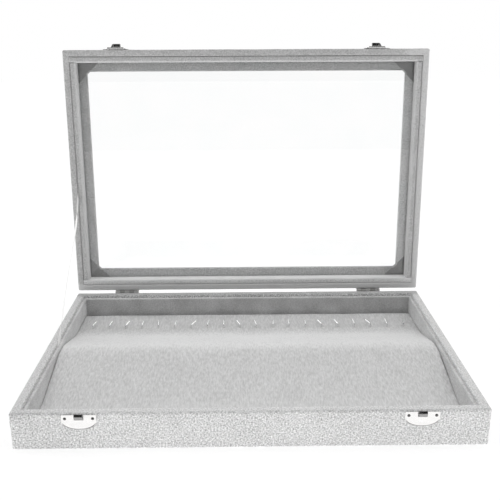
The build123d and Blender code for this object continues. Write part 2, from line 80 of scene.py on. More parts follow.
def turned(points, angle):
    """Points turned round the hinge line: y and z swing about the line, x stays."""
    y = points[..., 1] - HINGE_Y
    z = points[..., 2] - HINGE_Z
    c, s = math.cos(angle), math.sin(angle)
    return np.stack([points[..., 0], HINGE_Y + y * c - z * s, HINGE_Z + y * s + z * c], -1)


def opened(points):
    """Points of the shut lid carried to the open lid."""
    return turned(points, -OPEN_ANGLE)


def points_of(node):
    """A node's vertices as an array."""
    mesh = frame["nodes"][node].data
    found = np.empty(len(mesh.vertices) * 3, np.float32)
    mesh.vertices.foreach_get("co", found)
    return found.reshape(-1, 3).astype(float)


def box_of(node):
    """A node's lowest and highest corner where it rests."""
    found = points_of(node)
    return found.min(0), found.max(0)


def shut_box(node):
    """The same for a node of the lid, as if the lid were shut."""
    found = turned(points_of(node), OPEN_ANGLE)
    return found.min(0), found.max(0)


BASE_LOW, BASE_HIGH = box_of("base_velvet_cover")
PAD_LOW, PAD_HIGH = box_of("insert_velvet")
LID_LOW, LID_HIGH = shut_box("lid_velvet_cover")
HALF_W, HALF_D = BASE_HIGH[0], BASE_HIGH[1]
BASE_WALL = HALF_W - box_of("base_liner_right")[1][0]
LID_WALL = HALF_W - shut_box("lid_liner_right")[1][0]
# Play between the pane and the panel that it lies under
GLASS_PLAY = 0.00005
PANEL_LOW = shut_box("glass_pane")[1][2] + GLASS_PLAY
FLOOR_TOP = PAD_LOW[2]


def length(name, text, default):
    """A length property, in metres."""
    return FloatProperty(name=name, description=text, default=default, unit="LENGTH")


class TraySizes(bpy.types.PropertyGroup):
    """Sizes that a user might change."""

    velvet: length("Velvet", "Thickness of the velvet with its pile", 0.0008)
    box_corner: length("Box corner", "Radius of the upright corners", 0.0018)
    rim_round: length("Rim round", "Radius of the rims' outer edges", 0.0015)
    rim_round_inner: length("Inner rim round", "Radius of the rims' inner edges", 0.0012)
    turn_in: length("Turn-in", "Velvet folded under the box", 0.012)
    hem: length("Hem", "How far the pile hangs below the board's edge", 0.00045)
    window_margin: length("Window margin", "From the lid's outside to the window", 0.0205)
    window_chamfer: length("Window corner", "How much the window's corners are cut", 0.0025)
    seam_place: length("Corner seam", "From the box face back to the seam across a rim corner", 0.0064)
    well_length: length("Well length", "Flat part of the pad under the hooks", 0.0503)
    well_height: length("Well height", "Height of the pad under the hooks", 0.0071)
    crest_place: length("Crest place", "From the pad's rear edge to its crest", 0.1093)
    crest_height: length("Crest height", "Height of the pad at its crest", 0.02125)
    crest_round: length("Crest round", "Radius over the crest", 0.063)
    apron_length: length("Apron length", "Flatter part behind the pad's front edge", 0.037)
    apron_height: length("Apron height", "Height of the pad where its apron starts", 0.0056)
    side_pile: length("Side pile", "How far the pad's pile stands out to the liners", 0.0005)
    front_height: length("Front edge", "Height of the pad's front edge", 0.0036)
    hook_wire: length("Hook wire", "Diameter of the hooks' wire", 0.0013)
    hook_bend: length("Hook bend", "Radius of each hook's bend", 0.0014)
    nail_head: length("Nail head", "Radius of a nail's head", 0.0012)
    nail_dome: length("Nail dome", "Height of a nail's head", 0.0007)
    nail_shank: length("Nail shank", "Radius of a nail's shank", 0.0006)
    catch_drop: length("Catch drop", "Height of the rounded part of a catch plate", 0.0063)
    ribbon_width: length("Ribbon width", "Width of the stay ribbon", 0.006)
    ribbon_thick: length("Ribbon thickness", "Thickness of the stay ribbon", 0.0003)
    wire_faces: IntProperty(name="Wire faces", description="Faces round a wire", default=12, min=6, max=32)
    ribbon_twist: FloatProperty(
        name="Ribbon twist",
        description="How far the stay ribbon turns out of its seams",
        default=math.radians(24),
        subtype="ANGLE",
    )


def linear(code):
    """An sRGB hex colour as linear values."""
    part = np.array([int(code[i : i + 2], 16) for i in (1, 3, 5)]) / 255
    return tuple(float(v) for v in np.where(part <= 0.04045, part / 12.92, ((part + 0.055) / 1.055) ** 2.4))


def colour(name, text, code):
    """A colour property whose default is given as sRGB hex."""
    return FloatVectorProperty(
        name=name, description=text, default=linear(code), subtype="COLOR", min=0, max=1
    )


class TrayColours(bpy.types.PropertyGroup):
    """Colours of the tray's finishes."""

    outside_low: colour("Outside, pile down", "Velvet of the box where the pile lies away", "#878787")
    outside_high: colour("Outside, pile up", "Velvet of the box where the pile faces the light", "#FFFFFF")
    rim_low: colour("Rim, pile down", "Velvet of the base's rim where the pile lies away", "#A8A8A8")
    rim_high: colour("Rim, pile up", "Velvet of the base's rim where the pile faces the light", "#EDEDED")
    # The lid's inside: the same velvet as the outside, darkened as painted shade
    lid_low: colour("Lid, pile down", "Velvet of the lid where the pile lies away", "#959595")
    lid_high: colour("Lid, pile up", "Velvet of the lid where the pile faces the light", "#C9C9C9")
    liner_low: colour("Liner, pile down", "Velvet of the liners where the pile lies away", "#A6A6A6")
    liner_high: colour("Liner, pile up", "Velvet of the liners where the pile faces the light", "#DADADA")
    side_low: colour("Side liner, pile down", "Velvet of the side liners where the pile lies away", "#A2A2A2")
    side_high: colour("Side liner, pile up", "Side liners' velvet where the pile faces the light", "#DCDCDC")
    pad_low: colour("Pad, pile down", "Velvet of the pad where the pile lies away", "#B4B4B4")
    pad_high: colour("Pad, pile up", "Velvet of the pad where the pile faces the light", "#D8D8D8")
    nickel: colour("Nickel", "Polished nickel plate", "#FAF9F8")
    # Coloured darker than the nickel, as painted shade on the lid leaves' knuckles
    leaf: colour("Lid leaf", "Duller nickel of the hinges' lid leaves", "#D8D7D5")
    # Coloured darker than steel's own tone, as a painted dark reflection on nails and pins
    steel: colour("Steel", "Bright steel of nails and pins", "#777675")
    wire: colour("Hook wire", "Chrome-plated wire", "#F2F2F2")
    satin: colour("Satin", "White satin ribbon", "#F6F6F5")


# Lines and grids


def rounded_line(corners, arc_points=5):
    """A chain of straight runs whose corners are arcs.

    Each row is (across, up, radius). An arc touches both runs at radius * tan(half the turn) from its
    corner, and its points lie at equal steps of the turn.
    """
    corners = np.array(corners, float)
    at, radius = corners[:, :2], corners[:, 2:]
    step = np.diff(at, axis=0)
    step /= np.linalg.norm(step, axis=1)[:, None]
    before = np.vstack([step[:1], step])
    after = np.vstack([step, step[-1:]])
    turn = np.arctan2(before[:, 0] * after[:, 1] - before[:, 1] * after[:, 0], (before * after).sum(1))
    to_centre = np.stack([-before[:, 1], before[:, 0]], 1) * np.sign(turn)[:, None] * radius
    start = at - before * radius * np.tan(np.abs(turn) / 2)[:, None]
    share = np.linspace(0, 1, arc_points)
    angle = (np.abs(turn)[:, None] * share)[..., None]
    points = (start + to_centre)[:, None] - to_centre[:, None] * np.cos(angle)
    points = points + (before * radius)[:, None] * np.sin(angle)
    return points[(radius > 0) | (share == 0)]


def filled(line, step):
    """The same line with further points, one at each step of the length run along it."""
    run = np.concatenate([[0], np.cumsum(np.linalg.norm(np.diff(line, axis=0), axis=1))])
    at = np.unique(np.concatenate([run, np.arange(0, run[-1], step)]).round(7))
    return np.stack([np.interp(at, run, column) for column in line.T], 1)


def spread(side, ends, step):
    """Shares of a straight side: the given distances from both of its ends, and even steps between."""
    ends = np.asarray(ends)
    middle = np.linspace(ends[-1], side - ends[-1], max(3, round((side - 2 * ends[-1]) / step)))
    return np.concatenate([ends[:-1], middle, side - ends[-2::-1]]) / side


def ripple(across, up, span, seed):
    """Soft unevenness between about -1 and 1: a quarter of the sum of eight sine waves.

    The waves are 0.7 to 1.5 spans long and run in directions drawn from the seed.
    """
    draw = np.random.default_rng(seed)
    angle, phase = draw.uniform(0, 2 * math.pi, (2, 8))
    wave = 2 * math.pi / (span * draw.uniform(0.7, 1.5, 8))
    swing = across[..., None] * np.cos(angle) * wave + up[..., None] * np.sin(angle) * wave + phase
    return np.sin(swing).sum(-1) / 4


def eased(share):
    """A smooth step from 0 to 1: three squares less two cubes of the share."""
    share = np.clip(share, 0, 1)
    return share * share * (3 - 2 * share)


CORNER_X = np.array([1, -1, -1, 1])
CORNER_Y = np.array([1, 1, -1, -1])


class Ring:
    """Points round a rectangle, the same number at every size, for profiles carried round it.

    At corner q the points turn from q to q + 1 right angles about the corner's centre. Along the side
    after it they lie at shares of the straight run.
    """

    def __init__(self, shares_x, shares_y, turns=7):
        corner, turn, share = [], [], []
        for q in range(4):
            side = shares_x if q % 2 == 0 else shares_y
            corner.append(np.full(turns + len(side), q))
            turn += [np.linspace(0, 1, turns), np.ones(len(side))]
            share += [np.zeros(turns), side]
        self.corner, self.turn, self.share = (np.concatenate(v) for v in (corner, turn, share))
        angle = (self.corner + self.turn) * math.pi / 2
        self.normal = np.stack([np.cos(angle), np.sin(angle)], -1)

    def side_length(self, half_x, half_y, cut):
        """Length of the straight run after each point's corner: the side less a cut at each end."""
        return 2 * (np.where(self.corner % 2 == 0, half_x, half_y) - cut)

    def place(self, half_x, half_y, cut, bow):
        """x and y of the ring's points: corner centre plus cut times a mix of arc and chord, then the run.

        Bow 1 rounds the corners by an arc and 0 cuts them straight.
        """
        first = self.corner * math.pi / 2
        last = first + math.pi / 2
        centre_x = CORNER_X[self.corner] * (half_x - cut)
        centre_y = CORNER_Y[self.corner] * (half_y - cut)
        chord_x = (1 - self.turn) * np.cos(first) + self.turn * np.cos(last)
        chord_y = (1 - self.turn) * np.sin(first) + self.turn * np.sin(last)
        along = self.share * self.side_length(half_x, half_y, cut)
        x = centre_x + cut * (bow * self.normal[:, 0] + (1 - bow) * chord_x) - along * np.sin(last)
        y = centre_y + cut * (bow * self.normal[:, 1] + (1 - bow) * chord_y) + along * np.cos(last)
        return x, y

    def reach(self, half_x, half_y, cut):
        """How far each point is from the nearer end of its side, 0 at corners."""
        nearer = np.minimum(self.share, 1 - self.share) * (self.turn == 1)
        return nearer * self.side_length(half_x, half_y, cut)


# Meshes


def grid_quads(rows, columns, wrap_rows, wrap_columns):
    """Quads between neighbouring points of a grid, as rows of four point numbers."""
    row, column = np.meshgrid(
        np.arange(rows if wrap_rows else rows - 1),
        np.arange(columns if wrap_columns else columns - 1),
        indexing="ij",
    )
    below, beside = (row + 1) % rows, (column + 1) % columns
    row, below = row * columns, below * columns
    return np.stack((row + column, row + beside, below + beside, below + column), -1).reshape(-1, 4)


def end_caps(rows, columns):
    """The first and last rows as two faces."""
    return [list(range(columns)), list(range((rows - 1) * columns, rows * columns))]


def rim_cap(rows, columns):
    """The outline of an open grid as one face."""
    number = np.arange(rows * columns).reshape(rows, columns)
    outline = (number[0, :-1], number[:-1, -1], number[-1, :0:-1], number[:0:-1, 0])
    return [np.concatenate(outline).tolist()]


def faces_between(rows_on, columns):
    """1 for each face of a loop shell that lies between two rows that are on, else 0."""
    return np.repeat(rows_on & np.roll(rows_on, -1), columns).astype(int)


def tube_shell(grid):
    """A grid whose rows are closed rings, with its two ends closed."""
    rows, columns = grid.shape[:2]
    return grid, grid_quads(rows, columns, False, True).tolist() + end_caps(rows, columns)


def loop_shell(grid):
    """A grid closed both ways, such as a section carried round a box."""
    rows, columns = grid.shape[:2]
    return grid, grid_quads(rows, columns, True, True).tolist()


def pillow_shell(grid):
    """An open grid whose outline lies flat, closed underneath by one face."""
    rows, columns = grid.shape[:2]
    return grid, grid_quads(rows, columns, False, False).tolist() + rim_cap(rows, columns)


# Points closer than this are one point
SAME_PLACE = 2e-7
SHORTEST_EDGE = 1e-7
# A turn between faces past this shows as an edge
SHARP_TURN = math.radians(50)


def make_piece(name, shells, finish, body, stands_for, second=None, marks=None):
    """One closed object from shells of points and faces; doubles merge, normals turn outward.

    Faces whose mark is 1 have the second finish. A piece that rides on no body is attached to none.
    """
    points, faces, count = [], [], 0
    for grid, quads in shells:
        points.append(grid.reshape(-1, 3))
        faces += [[corner + count for corner in quad] for quad in quads]
        count += len(points[-1])
    mesh = bpy.data.meshes.new(name)
    mesh.from_pydata(np.concatenate(points).tolist(), [], faces)
    if marks is not None:
        mesh.polygons.foreach_set("material_index", marks)
    work = bmesh.new()
    work.from_mesh(mesh)
    bmesh.ops.remove_doubles(work, verts=work.verts, dist=SAME_PLACE)
    bmesh.ops.dissolve_degenerate(work, edges=work.edges, dist=SHORTEST_EDGE)
    bmesh.ops.recalc_face_normals(work, faces=work.faces)
    work.to_mesh(mesh)
    work.free()
    mesh.shade_smooth()
    mesh.set_sharp_from_angle(angle=SHARP_TURN)
    mesh.materials.append(finish)
    if second:
        mesh.materials.append(second)
    piece = bpy.data.objects.new(name, mesh)
    bpy.context.scene.collection.objects.link(piece)
    if body:
        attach(piece, body)
    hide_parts(*stands_for)
    return piece


# Finishes


def add_node(tree, kind, sockets=None, **settings):
    """Adds one node: settings are its own values, sockets its inputs' values or what feeds them."""
    node = tree.nodes.new(kind)
    for name, value in settings.items():
        setattr(node, name, value)
    for name, value in (sockets or {}).items():
        if isinstance(value, bpy.types.NodeSocket):
            tree.links.new(value, node.inputs[name])
        else:
            node.inputs[name].default_value = value
    return node


def new_finish(name):
    """An empty material, its node tree and the piece's own coordinates."""
    finish = bpy.data.materials.new(name)
    finish.use_nodes = True
    finish.node_tree.nodes.clear()
    place = add_node(finish.node_tree, "ShaderNodeTexCoord").outputs["Object"]
    return finish, finish.node_tree, place


def opaque(rgb, share=1.0):
    """A colour as four values, darkened where the share is under 1."""
    return (*(share * v for v in rgb), 1.0)


def speckle(tree, place, size, detail=2.0, stretch=(1, 1, 1)):
    """Noise between 0 and 1 whose patches are about one size, longer where stretch is under 1."""
    laid = add_node(tree, "ShaderNodeMapping", {"Vector": place, "Scale": stretch}).outputs["Vector"]
    sockets = {"Vector": laid, "Scale": 1 / size, "Detail": detail, "Roughness": 0.6}
    noise = add_node(tree, "ShaderNodeTexNoise", sockets).outputs["Fac"]
    span = {"Value": noise, "From Min": 0.3, "From Max": 0.7}
    return add_node(tree, "ShaderNodeMapRange", span).outputs["Result"]


def weighed(tree, parts):
    """The sum of outputs times their weights."""
    total = 0.0
    for output, weight in parts:
        sockets = {0: output, 1: weight, 2: total}
        total = add_node(tree, "ShaderNodeMath", sockets, operation="MULTIPLY_ADD").outputs[0]
    return total


# The pile stands in tufts of about 0.2 mm. They are drawn coarser, as fine as still shows at arm's length.
# Brushing leaves clumps and broad patches.
PILE_TUFT = 0.0012
PILE_CLUMP = 0.0036
PILE_PATCH = 0.021
CLUMP_SHARE = 0.08


def velvet_finish(name, low, high, painted_bands=(), lay=(1, 1, 1), patch_share=0.12, on_lid=False):
    """Short-pile velvet, woven and sheared: matte and paler at glancing angles, with bands of painted light
    and shade.

    The tufts give a fine grain, brushing gives clumps and broad soft patches, and lay under 1 draws the grain
    out along an axis, as the weave's rows do. Each row of painted_bands is (direction, from, to, amount): a
    band that fades in between two distances along a direction and makes the velvet paler or darker by an
    amount; most bands are painted light and shade. On the lid, places are those of the shut lid.
    """
    finish, tree, place = new_finish(name)
    if on_lid:
        hinge = {"Vector": place, "Center": (0, HINGE_Y, HINGE_Z), "Angle": OPEN_ANGLE}
        place = add_node(tree, "ShaderNodeVectorRotate", hinge, rotation_type="X_AXIS").outputs["Vector"]
    tuft = speckle(tree, place, PILE_TUFT, 2.0, lay)
    clump = speckle(tree, place, PILE_CLUMP, 1.0, lay)
    patch = speckle(tree, place, PILE_PATCH, 1.0)
    parts = [(tuft, 1 - CLUMP_SHARE - patch_share), (clump, CLUMP_SHARE), (patch, patch_share)]
    for direction, start, end, amount in painted_bands:
        # Each band paints a stretch paler or darker by position; most bands are painted light and shade
        along = add_node(tree, "ShaderNodeVectorMath", {0: place, 1: direction}, operation="DOT_PRODUCT")
        span = {"Value": along.outputs["Value"], "From Min": start, "From Max": end}
        lean = add_node(tree, "ShaderNodeMapRange", span, interpolation_type="SMOOTHSTEP").outputs["Result"]
        parts.append((lean, amount))
    tones = {0: weighed(tree, parts), 6: opaque(low), 7: opaque(high)}
    bump = add_node(tree, "ShaderNodeBump", {"Strength": 0.35, "Distance": 0.0004, "Height": tuft})
    sockets = {
        "Base Color": add_node(tree, "ShaderNodeMix", tones, data_type="RGBA").outputs[2],
        "Roughness": 0.92,
        "Specular IOR Level": 0.15,
        "Sheen Weight": 0.35,
        "Sheen Roughness": 0.45,
        "Sheen Tint": (1.0, 1.0, 1.0, 1.0),
        "Normal": bump.outputs["Normal"],
    }
    cloth = add_node(tree, "ShaderNodeBsdfPrincipled", sockets)
    add_node(tree, "ShaderNodeOutputMaterial", {"Surface": cloth.outputs["BSDF"]})
    return finish


# Rubbing marks on metal: a hair's width across in truth, drawn wide enough to show, four times as long
RUB_MARK = 0.0016
RUB_LAY = (0.25, 1, 1)
# How bright metal is in a mark, and how dark where painted shade and painted dark reflections darken it
RUBBED_TONE = 0.93
PAINTED_DARK_TONE = 0.15


def metal_finish(name, rgb, roughness, scratch=0.1, painted_dark=None):
    """Plated or drawn metal: mirror-like, with faint rubbing marks that vary its tone and gloss.

    The marks raise the roughness by up to the scratch. The function painted_dark adds nodes for how far each
    place is painted dark, with painted shade and painted dark reflections.
    """
    finish, tree, place = new_finish(name)
    rubbed = speckle(tree, place, RUB_MARK, 3.0, RUB_LAY)
    gloss = {0: rubbed, 1: scratch, 2: roughness}
    tones = {0: rubbed, 6: opaque(rgb, RUBBED_TONE), 7: opaque(rgb)}
    tone = add_node(tree, "ShaderNodeMix", tones, data_type="RGBA").outputs[2]
    if painted_dark:
        tones = {0: painted_dark(tree, place), 6: tone, 7: opaque(rgb, PAINTED_DARK_TONE)}
        tone = add_node(tree, "ShaderNodeMix", tones, data_type="RGBA").outputs[2]
    bump = add_node(tree, "ShaderNodeBump", {"Strength": 0.05, "Distance": 0.0001, "Height": rubbed})
    sockets = {
        "Base Color": tone,
        "Metallic": 1.0,
        "Roughness": add_node(tree, "ShaderNodeMath", gloss, operation="MULTIPLY_ADD").outputs[0],
        "Normal": bump.outputs["Normal"],
    }
    metal = add_node(tree, "ShaderNodeBsdfPrincipled", sockets)
    add_node(tree, "ShaderNodeOutputMaterial", {"Surface": metal.outputs["BSDF"]})
    return finish


# How dark the painted shade along a catch plate's lower edge and the painted dark reflection on its nose are,
# and how far the nose stands out of the plate
EDGE_SHADE_DARK = 0.8
NOSE_REFLECTION_DARK = 0.7
NOSE_STANDS = 0.0008, 0.0013


def catch_painted_dark(drop):
    """Painted dark on the catch plates: painted shade along the lower edge and a painted dark reflection on
    the nose.

    A place's distance from the middle of the bend line, with x over the half width and z over the drop, is 1
    at the edge of the half ellipse, and the painted shade starts just inside it. It fades in from a tenth to
    a half of the drop below the bend line. The nose is what stands out of the plate's face.
    """
    low, high = box_of("catch_plate_right")
    middle, half, bend = (low[0] + high[0]) / 2, (high[0] - low[0]) / 2, low[2] + drop

    def nodes(tree, place):
        either = add_node(tree, "ShaderNodeVectorMath", {0: place}, operation="ABSOLUTE").outputs["Vector"]
        sockets = {0: either, 1: (1 / half, 0, 1 / drop), 2: (-middle / half, 0, -bend / drop)}
        scaled = add_node(tree, "ShaderNodeVectorMath", sockets, operation="MULTIPLY_ADD").outputs["Vector"]
        away = add_node(tree, "ShaderNodeVectorMath", {0: scaled}, operation="LENGTH").outputs["Value"]
        down = add_node(tree, "ShaderNodeSeparateXYZ", {"Vector": scaled}).outputs["Z"]
        out = add_node(tree, "ShaderNodeSeparateXYZ", {"Vector": either}).outputs["Y"]
        start, end = (HALF_D + stands for stands in NOSE_STANDS)
        spans = (
            {"Value": away, "From Min": 0.91, "From Max": 0.94, "To Max": EDGE_SHADE_DARK},
            {"Value": down, "From Min": -0.1, "From Max": -0.5},
            {"Value": out, "From Min": start, "From Max": end, "To Max": NOSE_REFLECTION_DARK},
        )
        edge, below, nose = (add_node(tree, "ShaderNodeMapRange", span).outputs["Result"] for span in spans)
        lower = add_node(tree, "ShaderNodeMath", {0: edge, 1: below}, operation="MULTIPLY").outputs[0]
        return add_node(tree, "ShaderNodeMath", {0: lower, 1: nose}, operation="MAXIMUM").outputs[0]

    return nodes


def fibre_finish(name, low, high, size, roughness=0.85):
    """Pressed fibres or felt: matte, with specks of one size between two tones."""
    finish, tree, place = new_finish(name)
    speck = speckle(tree, place, size, 4.0)
    tones = {0: speck, 6: opaque(linear(low)), 7: opaque(linear(high))}
    bump = add_node(tree, "ShaderNodeBump", {"Strength": 0.3, "Distance": size / 4, "Height": speck})
    sockets = {
        "Base Color": add_node(tree, "ShaderNodeMix", tones, data_type="RGBA").outputs[2],
        "Roughness": roughness,
        "Normal": bump.outputs["Normal"],
    }
    fibres = add_node(tree, "ShaderNodeBsdfPrincipled", sockets)
    add_node(tree, "ShaderNodeOutputMaterial", {"Surface": fibres.outputs["BSDF"]})
    return finish


# Satin's floats lie about 0.1 mm apart, drawn five times as wide, and run far along the band
SATIN_FLOAT = 0.0005
SATIN_LAY = (1, 0.08, 0.08)


def satin_finish(name, rgb):
    """Woven satin: long floats along the band give a soft streaky gloss."""
    finish, tree, place = new_finish(name)
    floats = speckle(tree, place, SATIN_FLOAT, 2.0, SATIN_LAY)
    tones = {0: floats, 6: opaque(rgb, 0.9), 7: opaque(rgb)}
    bump = add_node(tree, "ShaderNodeBump", {"Strength": 0.2, "Distance": 0.00005, "Height": floats})
    sockets = {
        "Base Color": add_node(tree, "ShaderNodeMix", tones, data_type="RGBA").outputs[2],
        "Roughness": 0.38,
        "Sheen Weight": 0.3,
        "Normal": bump.outputs["Normal"],
    }
    satin = add_node(tree, "ShaderNodeBsdfPrincipled", sockets)
    add_node(tree, "ShaderNodeOutputMaterial", {"Surface": satin.outputs["BSDF"]})
    return finish


def glass_finish(name):
    """Float glass, cast flat and fire-polished: clear and sharp, with a breath of green.

    Lamps shine through it, so it throws no shadow.
    """
    finish, tree, place = new_finish(name)
    tones = {0: speckle(tree, place, 0.03, 1.0), 6: opaque(linear("#FDFEFE")), 7: opaque(linear("#FFFFFF"))}
    tint = add_node(tree, "ShaderNodeMix", tones, data_type="RGBA").outputs[2]
    sockets = {"Base Color": tint, "Roughness": 0.0, "IOR": 1.5, "Transmission Weight": 1.0}
    glass = add_node(tree, "ShaderNodeBsdfPrincipled", sockets).outputs["BSDF"]
    clear = add_node(tree, "ShaderNodeBsdfTransparent").outputs["BSDF"]
    in_shadow = add_node(tree, "ShaderNodeLightPath").outputs["Is Shadow Ray"]
    both = add_node(tree, "ShaderNodeMixShader", {0: in_shadow, 1: glass, 2: clear})
    add_node(tree, "ShaderNodeOutputMaterial", {"Surface": both.outputs["Shader"]})
    return finish


def dress(finish, *names):
    """Gives CAD nodes that stay in view a finish, through their material slots."""
    for name in names:
        for slot in frame["nodes"][name].material_slots:
            slot.material = finish


# Covers


# Where the velvet of the front meets its rim, as a distance along -Y and +Z together, and the band below it
# over which painted shade fades in on the rounded front edge
FRONT_EDGE = HALF_D + BASE_HIGH[2]
FRONT_EDGE_SHADE = FRONT_EDGE - 0.0024, FRONT_EDGE - 0.0012
# The stretch to the left of the middle over which the velvet turns darker towards the left end
LEFT_END = 0.11, 0.165

# Unevenness: span and depth of the waves on walls and rims, and the bands in which they fade out
WALL_SPAN = 0.03
WALL_FADE = 0.004
BASE_WAVE = 0.00013
LID_WAVE = 0.00012
RIM_SPAN = 0.025
RIM_WAVE = 0.0001
RIM_SINK = 0.00005
RIM_BAND = 0.002
RIM_FADE = 0.0015
# A row of a section lies on the outer wall if its inset is under this, and on top if this near the top
ON_WALL = 0.0004
ON_BASE_TOP = 0.0008
ON_LID_TOP = 0.001
# The sharpest that an upright corner gets, and the longest step along a section
LEAST_CORNER = 0.0006
SECTION_STEP = 0.0035
# Radius of the folds at the base's hem, and depth and half width of a seam's groove
HEM_ROUND = 0.0004
SEAM_DEPTH = 0.0004
SEAM_WIDTH = 0.00025
# Radius of the window's edges, how far their arcs are from the flat, and how far round the window its
# corners keep their straight cuts
WINDOW_ROUND = 0.0013
WINDOW_LIP = 0.002
CUT_BAND = 0.003
# How much of its reach each row of a flap has, from its glued end to the window's edge, and the least
# reach at the corners
FLAP_SHARES = np.array([1.0, 0.75, 0.5, 0.25, 0.08])
LEAST_REACH = 0.0002


def outside_velvet(tone, name, painted_bands=()):
    """Cut-pile velvet glued over board, which gives the box its bright, finely speckled outside."""
    return velvet_finish(name, tone.outside_low, tone.outside_high, painted_bands, patch_share=0.04)


def base_velvet(tone):
    """The same velvet on the base, with painted shade on the rounded front edge, and darker towards the left
    end.
    """
    painted_bands = [((0, -1, 1), *FRONT_EDGE_SHADE, -0.08), ((-1, 0, 0), *LEFT_END, -0.06)]
    return outside_velvet(tone, "short_pile_velvet_outside", painted_bands)


def rim_velvet(tone):
    """The same velvet on the rim of the base, rubbed smooth by hands and by the lid, so calmer in grain;
    painted shade darkens it at the rear, under the open lid, and on the rounded front edge, and it is darker
    towards the left end.
    """
    painted_bands = [
        ((0, -1, 1), *FRONT_EDGE_SHADE, -0.13),
        ((0, 1, 0), HALF_D - 0.014, HALF_D - 0.007, -0.45),
        ((-1, 0, 0), *LEFT_END, -0.1),
    ]
    return velvet_finish("short_pile_velvet_rim", tone.rim_low, tone.rim_high, painted_bands, patch_share=0.04)


def carried_round(ring, rows, half_x, half_y, corner):
    """A section of (inset, height) rows carried round a box whose corner radius shrinks with the inset."""
    inset = rows[:, :1]
    x, y = ring.place(half_x - inset, half_y - inset, np.maximum(corner - inset, LEAST_CORNER), 1.0)
    return x, y, np.broadcast_to(rows[:, 1:2], x.shape).copy()


def uneven(ring, place, on_wall, on_rim, wave, sink, seed):
    """Soft waves in a cover: walls move along their normals by a ripple, rims up by a ripple and a sink."""
    x, y, z = place
    out = wave * ripple(x + y, z, WALL_SPAN, seed) * on_wall
    x = x + ring.normal[:, 0] * out
    y = y + ring.normal[:, 1] * out
    return x, y, z + (RIM_WAVE * ripple(x, y, RIM_SPAN, seed + 1) + sink) * on_rim


class TRAY_OT_base_cover(bpy.types.Operator):
    """Velvet over the base: from under the box, up the outside, over the rim and down inside"""

    bl_idname = "tray.base_cover"
    bl_label = "Base cover"

    def execute(self, context):
        size, tone = context.scene.tray_sizes, context.scene.tray_colours
        low, high, cloth, hem = BASE_LOW[2], BASE_HIGH[2], size.velvet, size.hem
        # Each row of a section is (inset, height, radius). The pile hangs a hem below the outer wall.
        shown = filled(
            rounded_line(
                [
                    (size.turn_in, low, 0),
                    (2 * hem + 0.0015, low, HEM_ROUND),
                    (2 * hem + 0.001, low - hem, HEM_ROUND),
                    (0, low - hem, size.rim_round_inner),
                    (0, high, size.rim_round),
                    (BASE_WALL, high, size.rim_round_inner),
                    (BASE_WALL, FLOOR_TOP, 0),
                ],
                7,
            ),
            SECTION_STEP,
        )
        hidden = np.array(
            [
                (BASE_WALL - cloth, FLOOR_TOP),
                (BASE_WALL - cloth, high - cloth),
                (cloth, high - cloth),
                (cloth, low + cloth),
                (size.turn_in, low + cloth),
            ]
        )
        rows = np.vstack([shown, hidden])
        # Columns stand close together round the seams across the rim's corners
        near_seam = np.concatenate([np.linspace(0.0006, 0.003, 4), np.linspace(0.0033, 0.0046, 8), [0.007]])
        ring = Ring(
            spread(2 * (HALF_W - size.box_corner), near_seam, 0.004),
            spread(2 * (HALF_D - size.box_corner), near_seam, 0.004),
        )
        x, y, z = carried_round(ring, rows, HALF_W, HALF_D, size.box_corner)
        outer = (np.arange(len(rows)) < len(shown))[:, None]
        on_wall = outer * (rows[:, :1] < ON_WALL)
        on_wall = on_wall * eased((z - low) / WALL_FADE) * eased((high - z) / WALL_FADE)
        on_rim = outer * eased((z - high + RIM_BAND) / RIM_FADE)
        x, y, z = uneven(ring, (x, y, z), on_wall, on_rim, BASE_WAVE, -RIM_SINK, 3)
        # A seam is a groove across each side wall's rim: a bell curve of the distance to it
        from_seam = np.abs(y) - HALF_D + size.seam_place
        z -= SEAM_DEPTH * np.exp(-((from_seam / SEAM_WIDTH) ** 2)) * (ring.corner % 2 == 1) * on_rim
        on_top = outer[:, 0] & (rows[:, 1] > high - ON_BASE_TOP)
        shell = loop_shell(np.stack([x, y, z], -1))
        make_piece("base_velvet", [shell], base_velvet(tone), "base", ["base_velvet_cover"],
                   rim_velvet(tone), faces_between(on_top, x.shape[1]))
        return {"FINISHED"}


# On the lid, painted light makes the velvet paler towards the hinge
HINGE_SIDE_LIGHT = ((0, 1, 0), -0.05, 0.112, 0.12)


def lid_velvet(tone):
    """The same velvet inside the lid, its colours darkened as painted shade: more painted shade on the flaps
    at the window, the front and right ones less dark through painted light, and painted light makes the rim
    at the hinges pale, where it faces the light."""
    top_edge = HALF_D + 3 * LID_LOW[2]
    painted_bands = [
        HINGE_SIDE_LIGHT,
        ((0, 0, 1), PANEL_LOW - 0.0015, PANEL_LOW - 0.0005, -0.22),
        ((0, 1, 0), HALF_D - 0.0075, HALF_D - 0.0065, 0.75),
        ((1, 0, 0), HALF_W - 0.026, HALF_W - 0.018, 0.45),
        ((0, -1, 3), top_edge + 0.006, top_edge + 0.012, 0.16),
    ]
    return velvet_finish("short_pile_velvet_lid", tone.lid_low, tone.lid_high, painted_bands, on_lid=True)


def lid_liner_velvet(tone, side):
    """Velvet wrapped round one of the lid's liners, in the lid's colours darkened as painted shade: a painted
    highlight makes it paler along the edge that frames the window, most of all on the hinge side, where it
    faces the light, and painted shade makes it darker further out."""
    low, high = shut_box("lid_liner_" + side)
    towards = {"front": (0, -1, 0), "back": (0, 1, 0), "left": (-1, 0, 0), "right": (1, 0, 0)}[side]
    axis = 1 if side in ("front", "back") else 0
    inner = min(abs(low[axis]), abs(high[axis]))
    # On the hinge side the painted highlight is strongest, and its paler colour is the side liners' one, as
    # painted light
    edge_highlight, above = (0.75, tone.side_high) if side == "back" else (0.4, tone.lid_high)
    painted_bands = [
        HINGE_SIDE_LIGHT,
        (towards, inner + 0.001, inner + 0.0025, -0.4),
        (towards, inner - 0.002, inner - 0.001, edge_highlight),
    ]
    return velvet_finish("short_pile_velvet_lid_liner_" + side, tone.lid_low, above, painted_bands, on_lid=True)


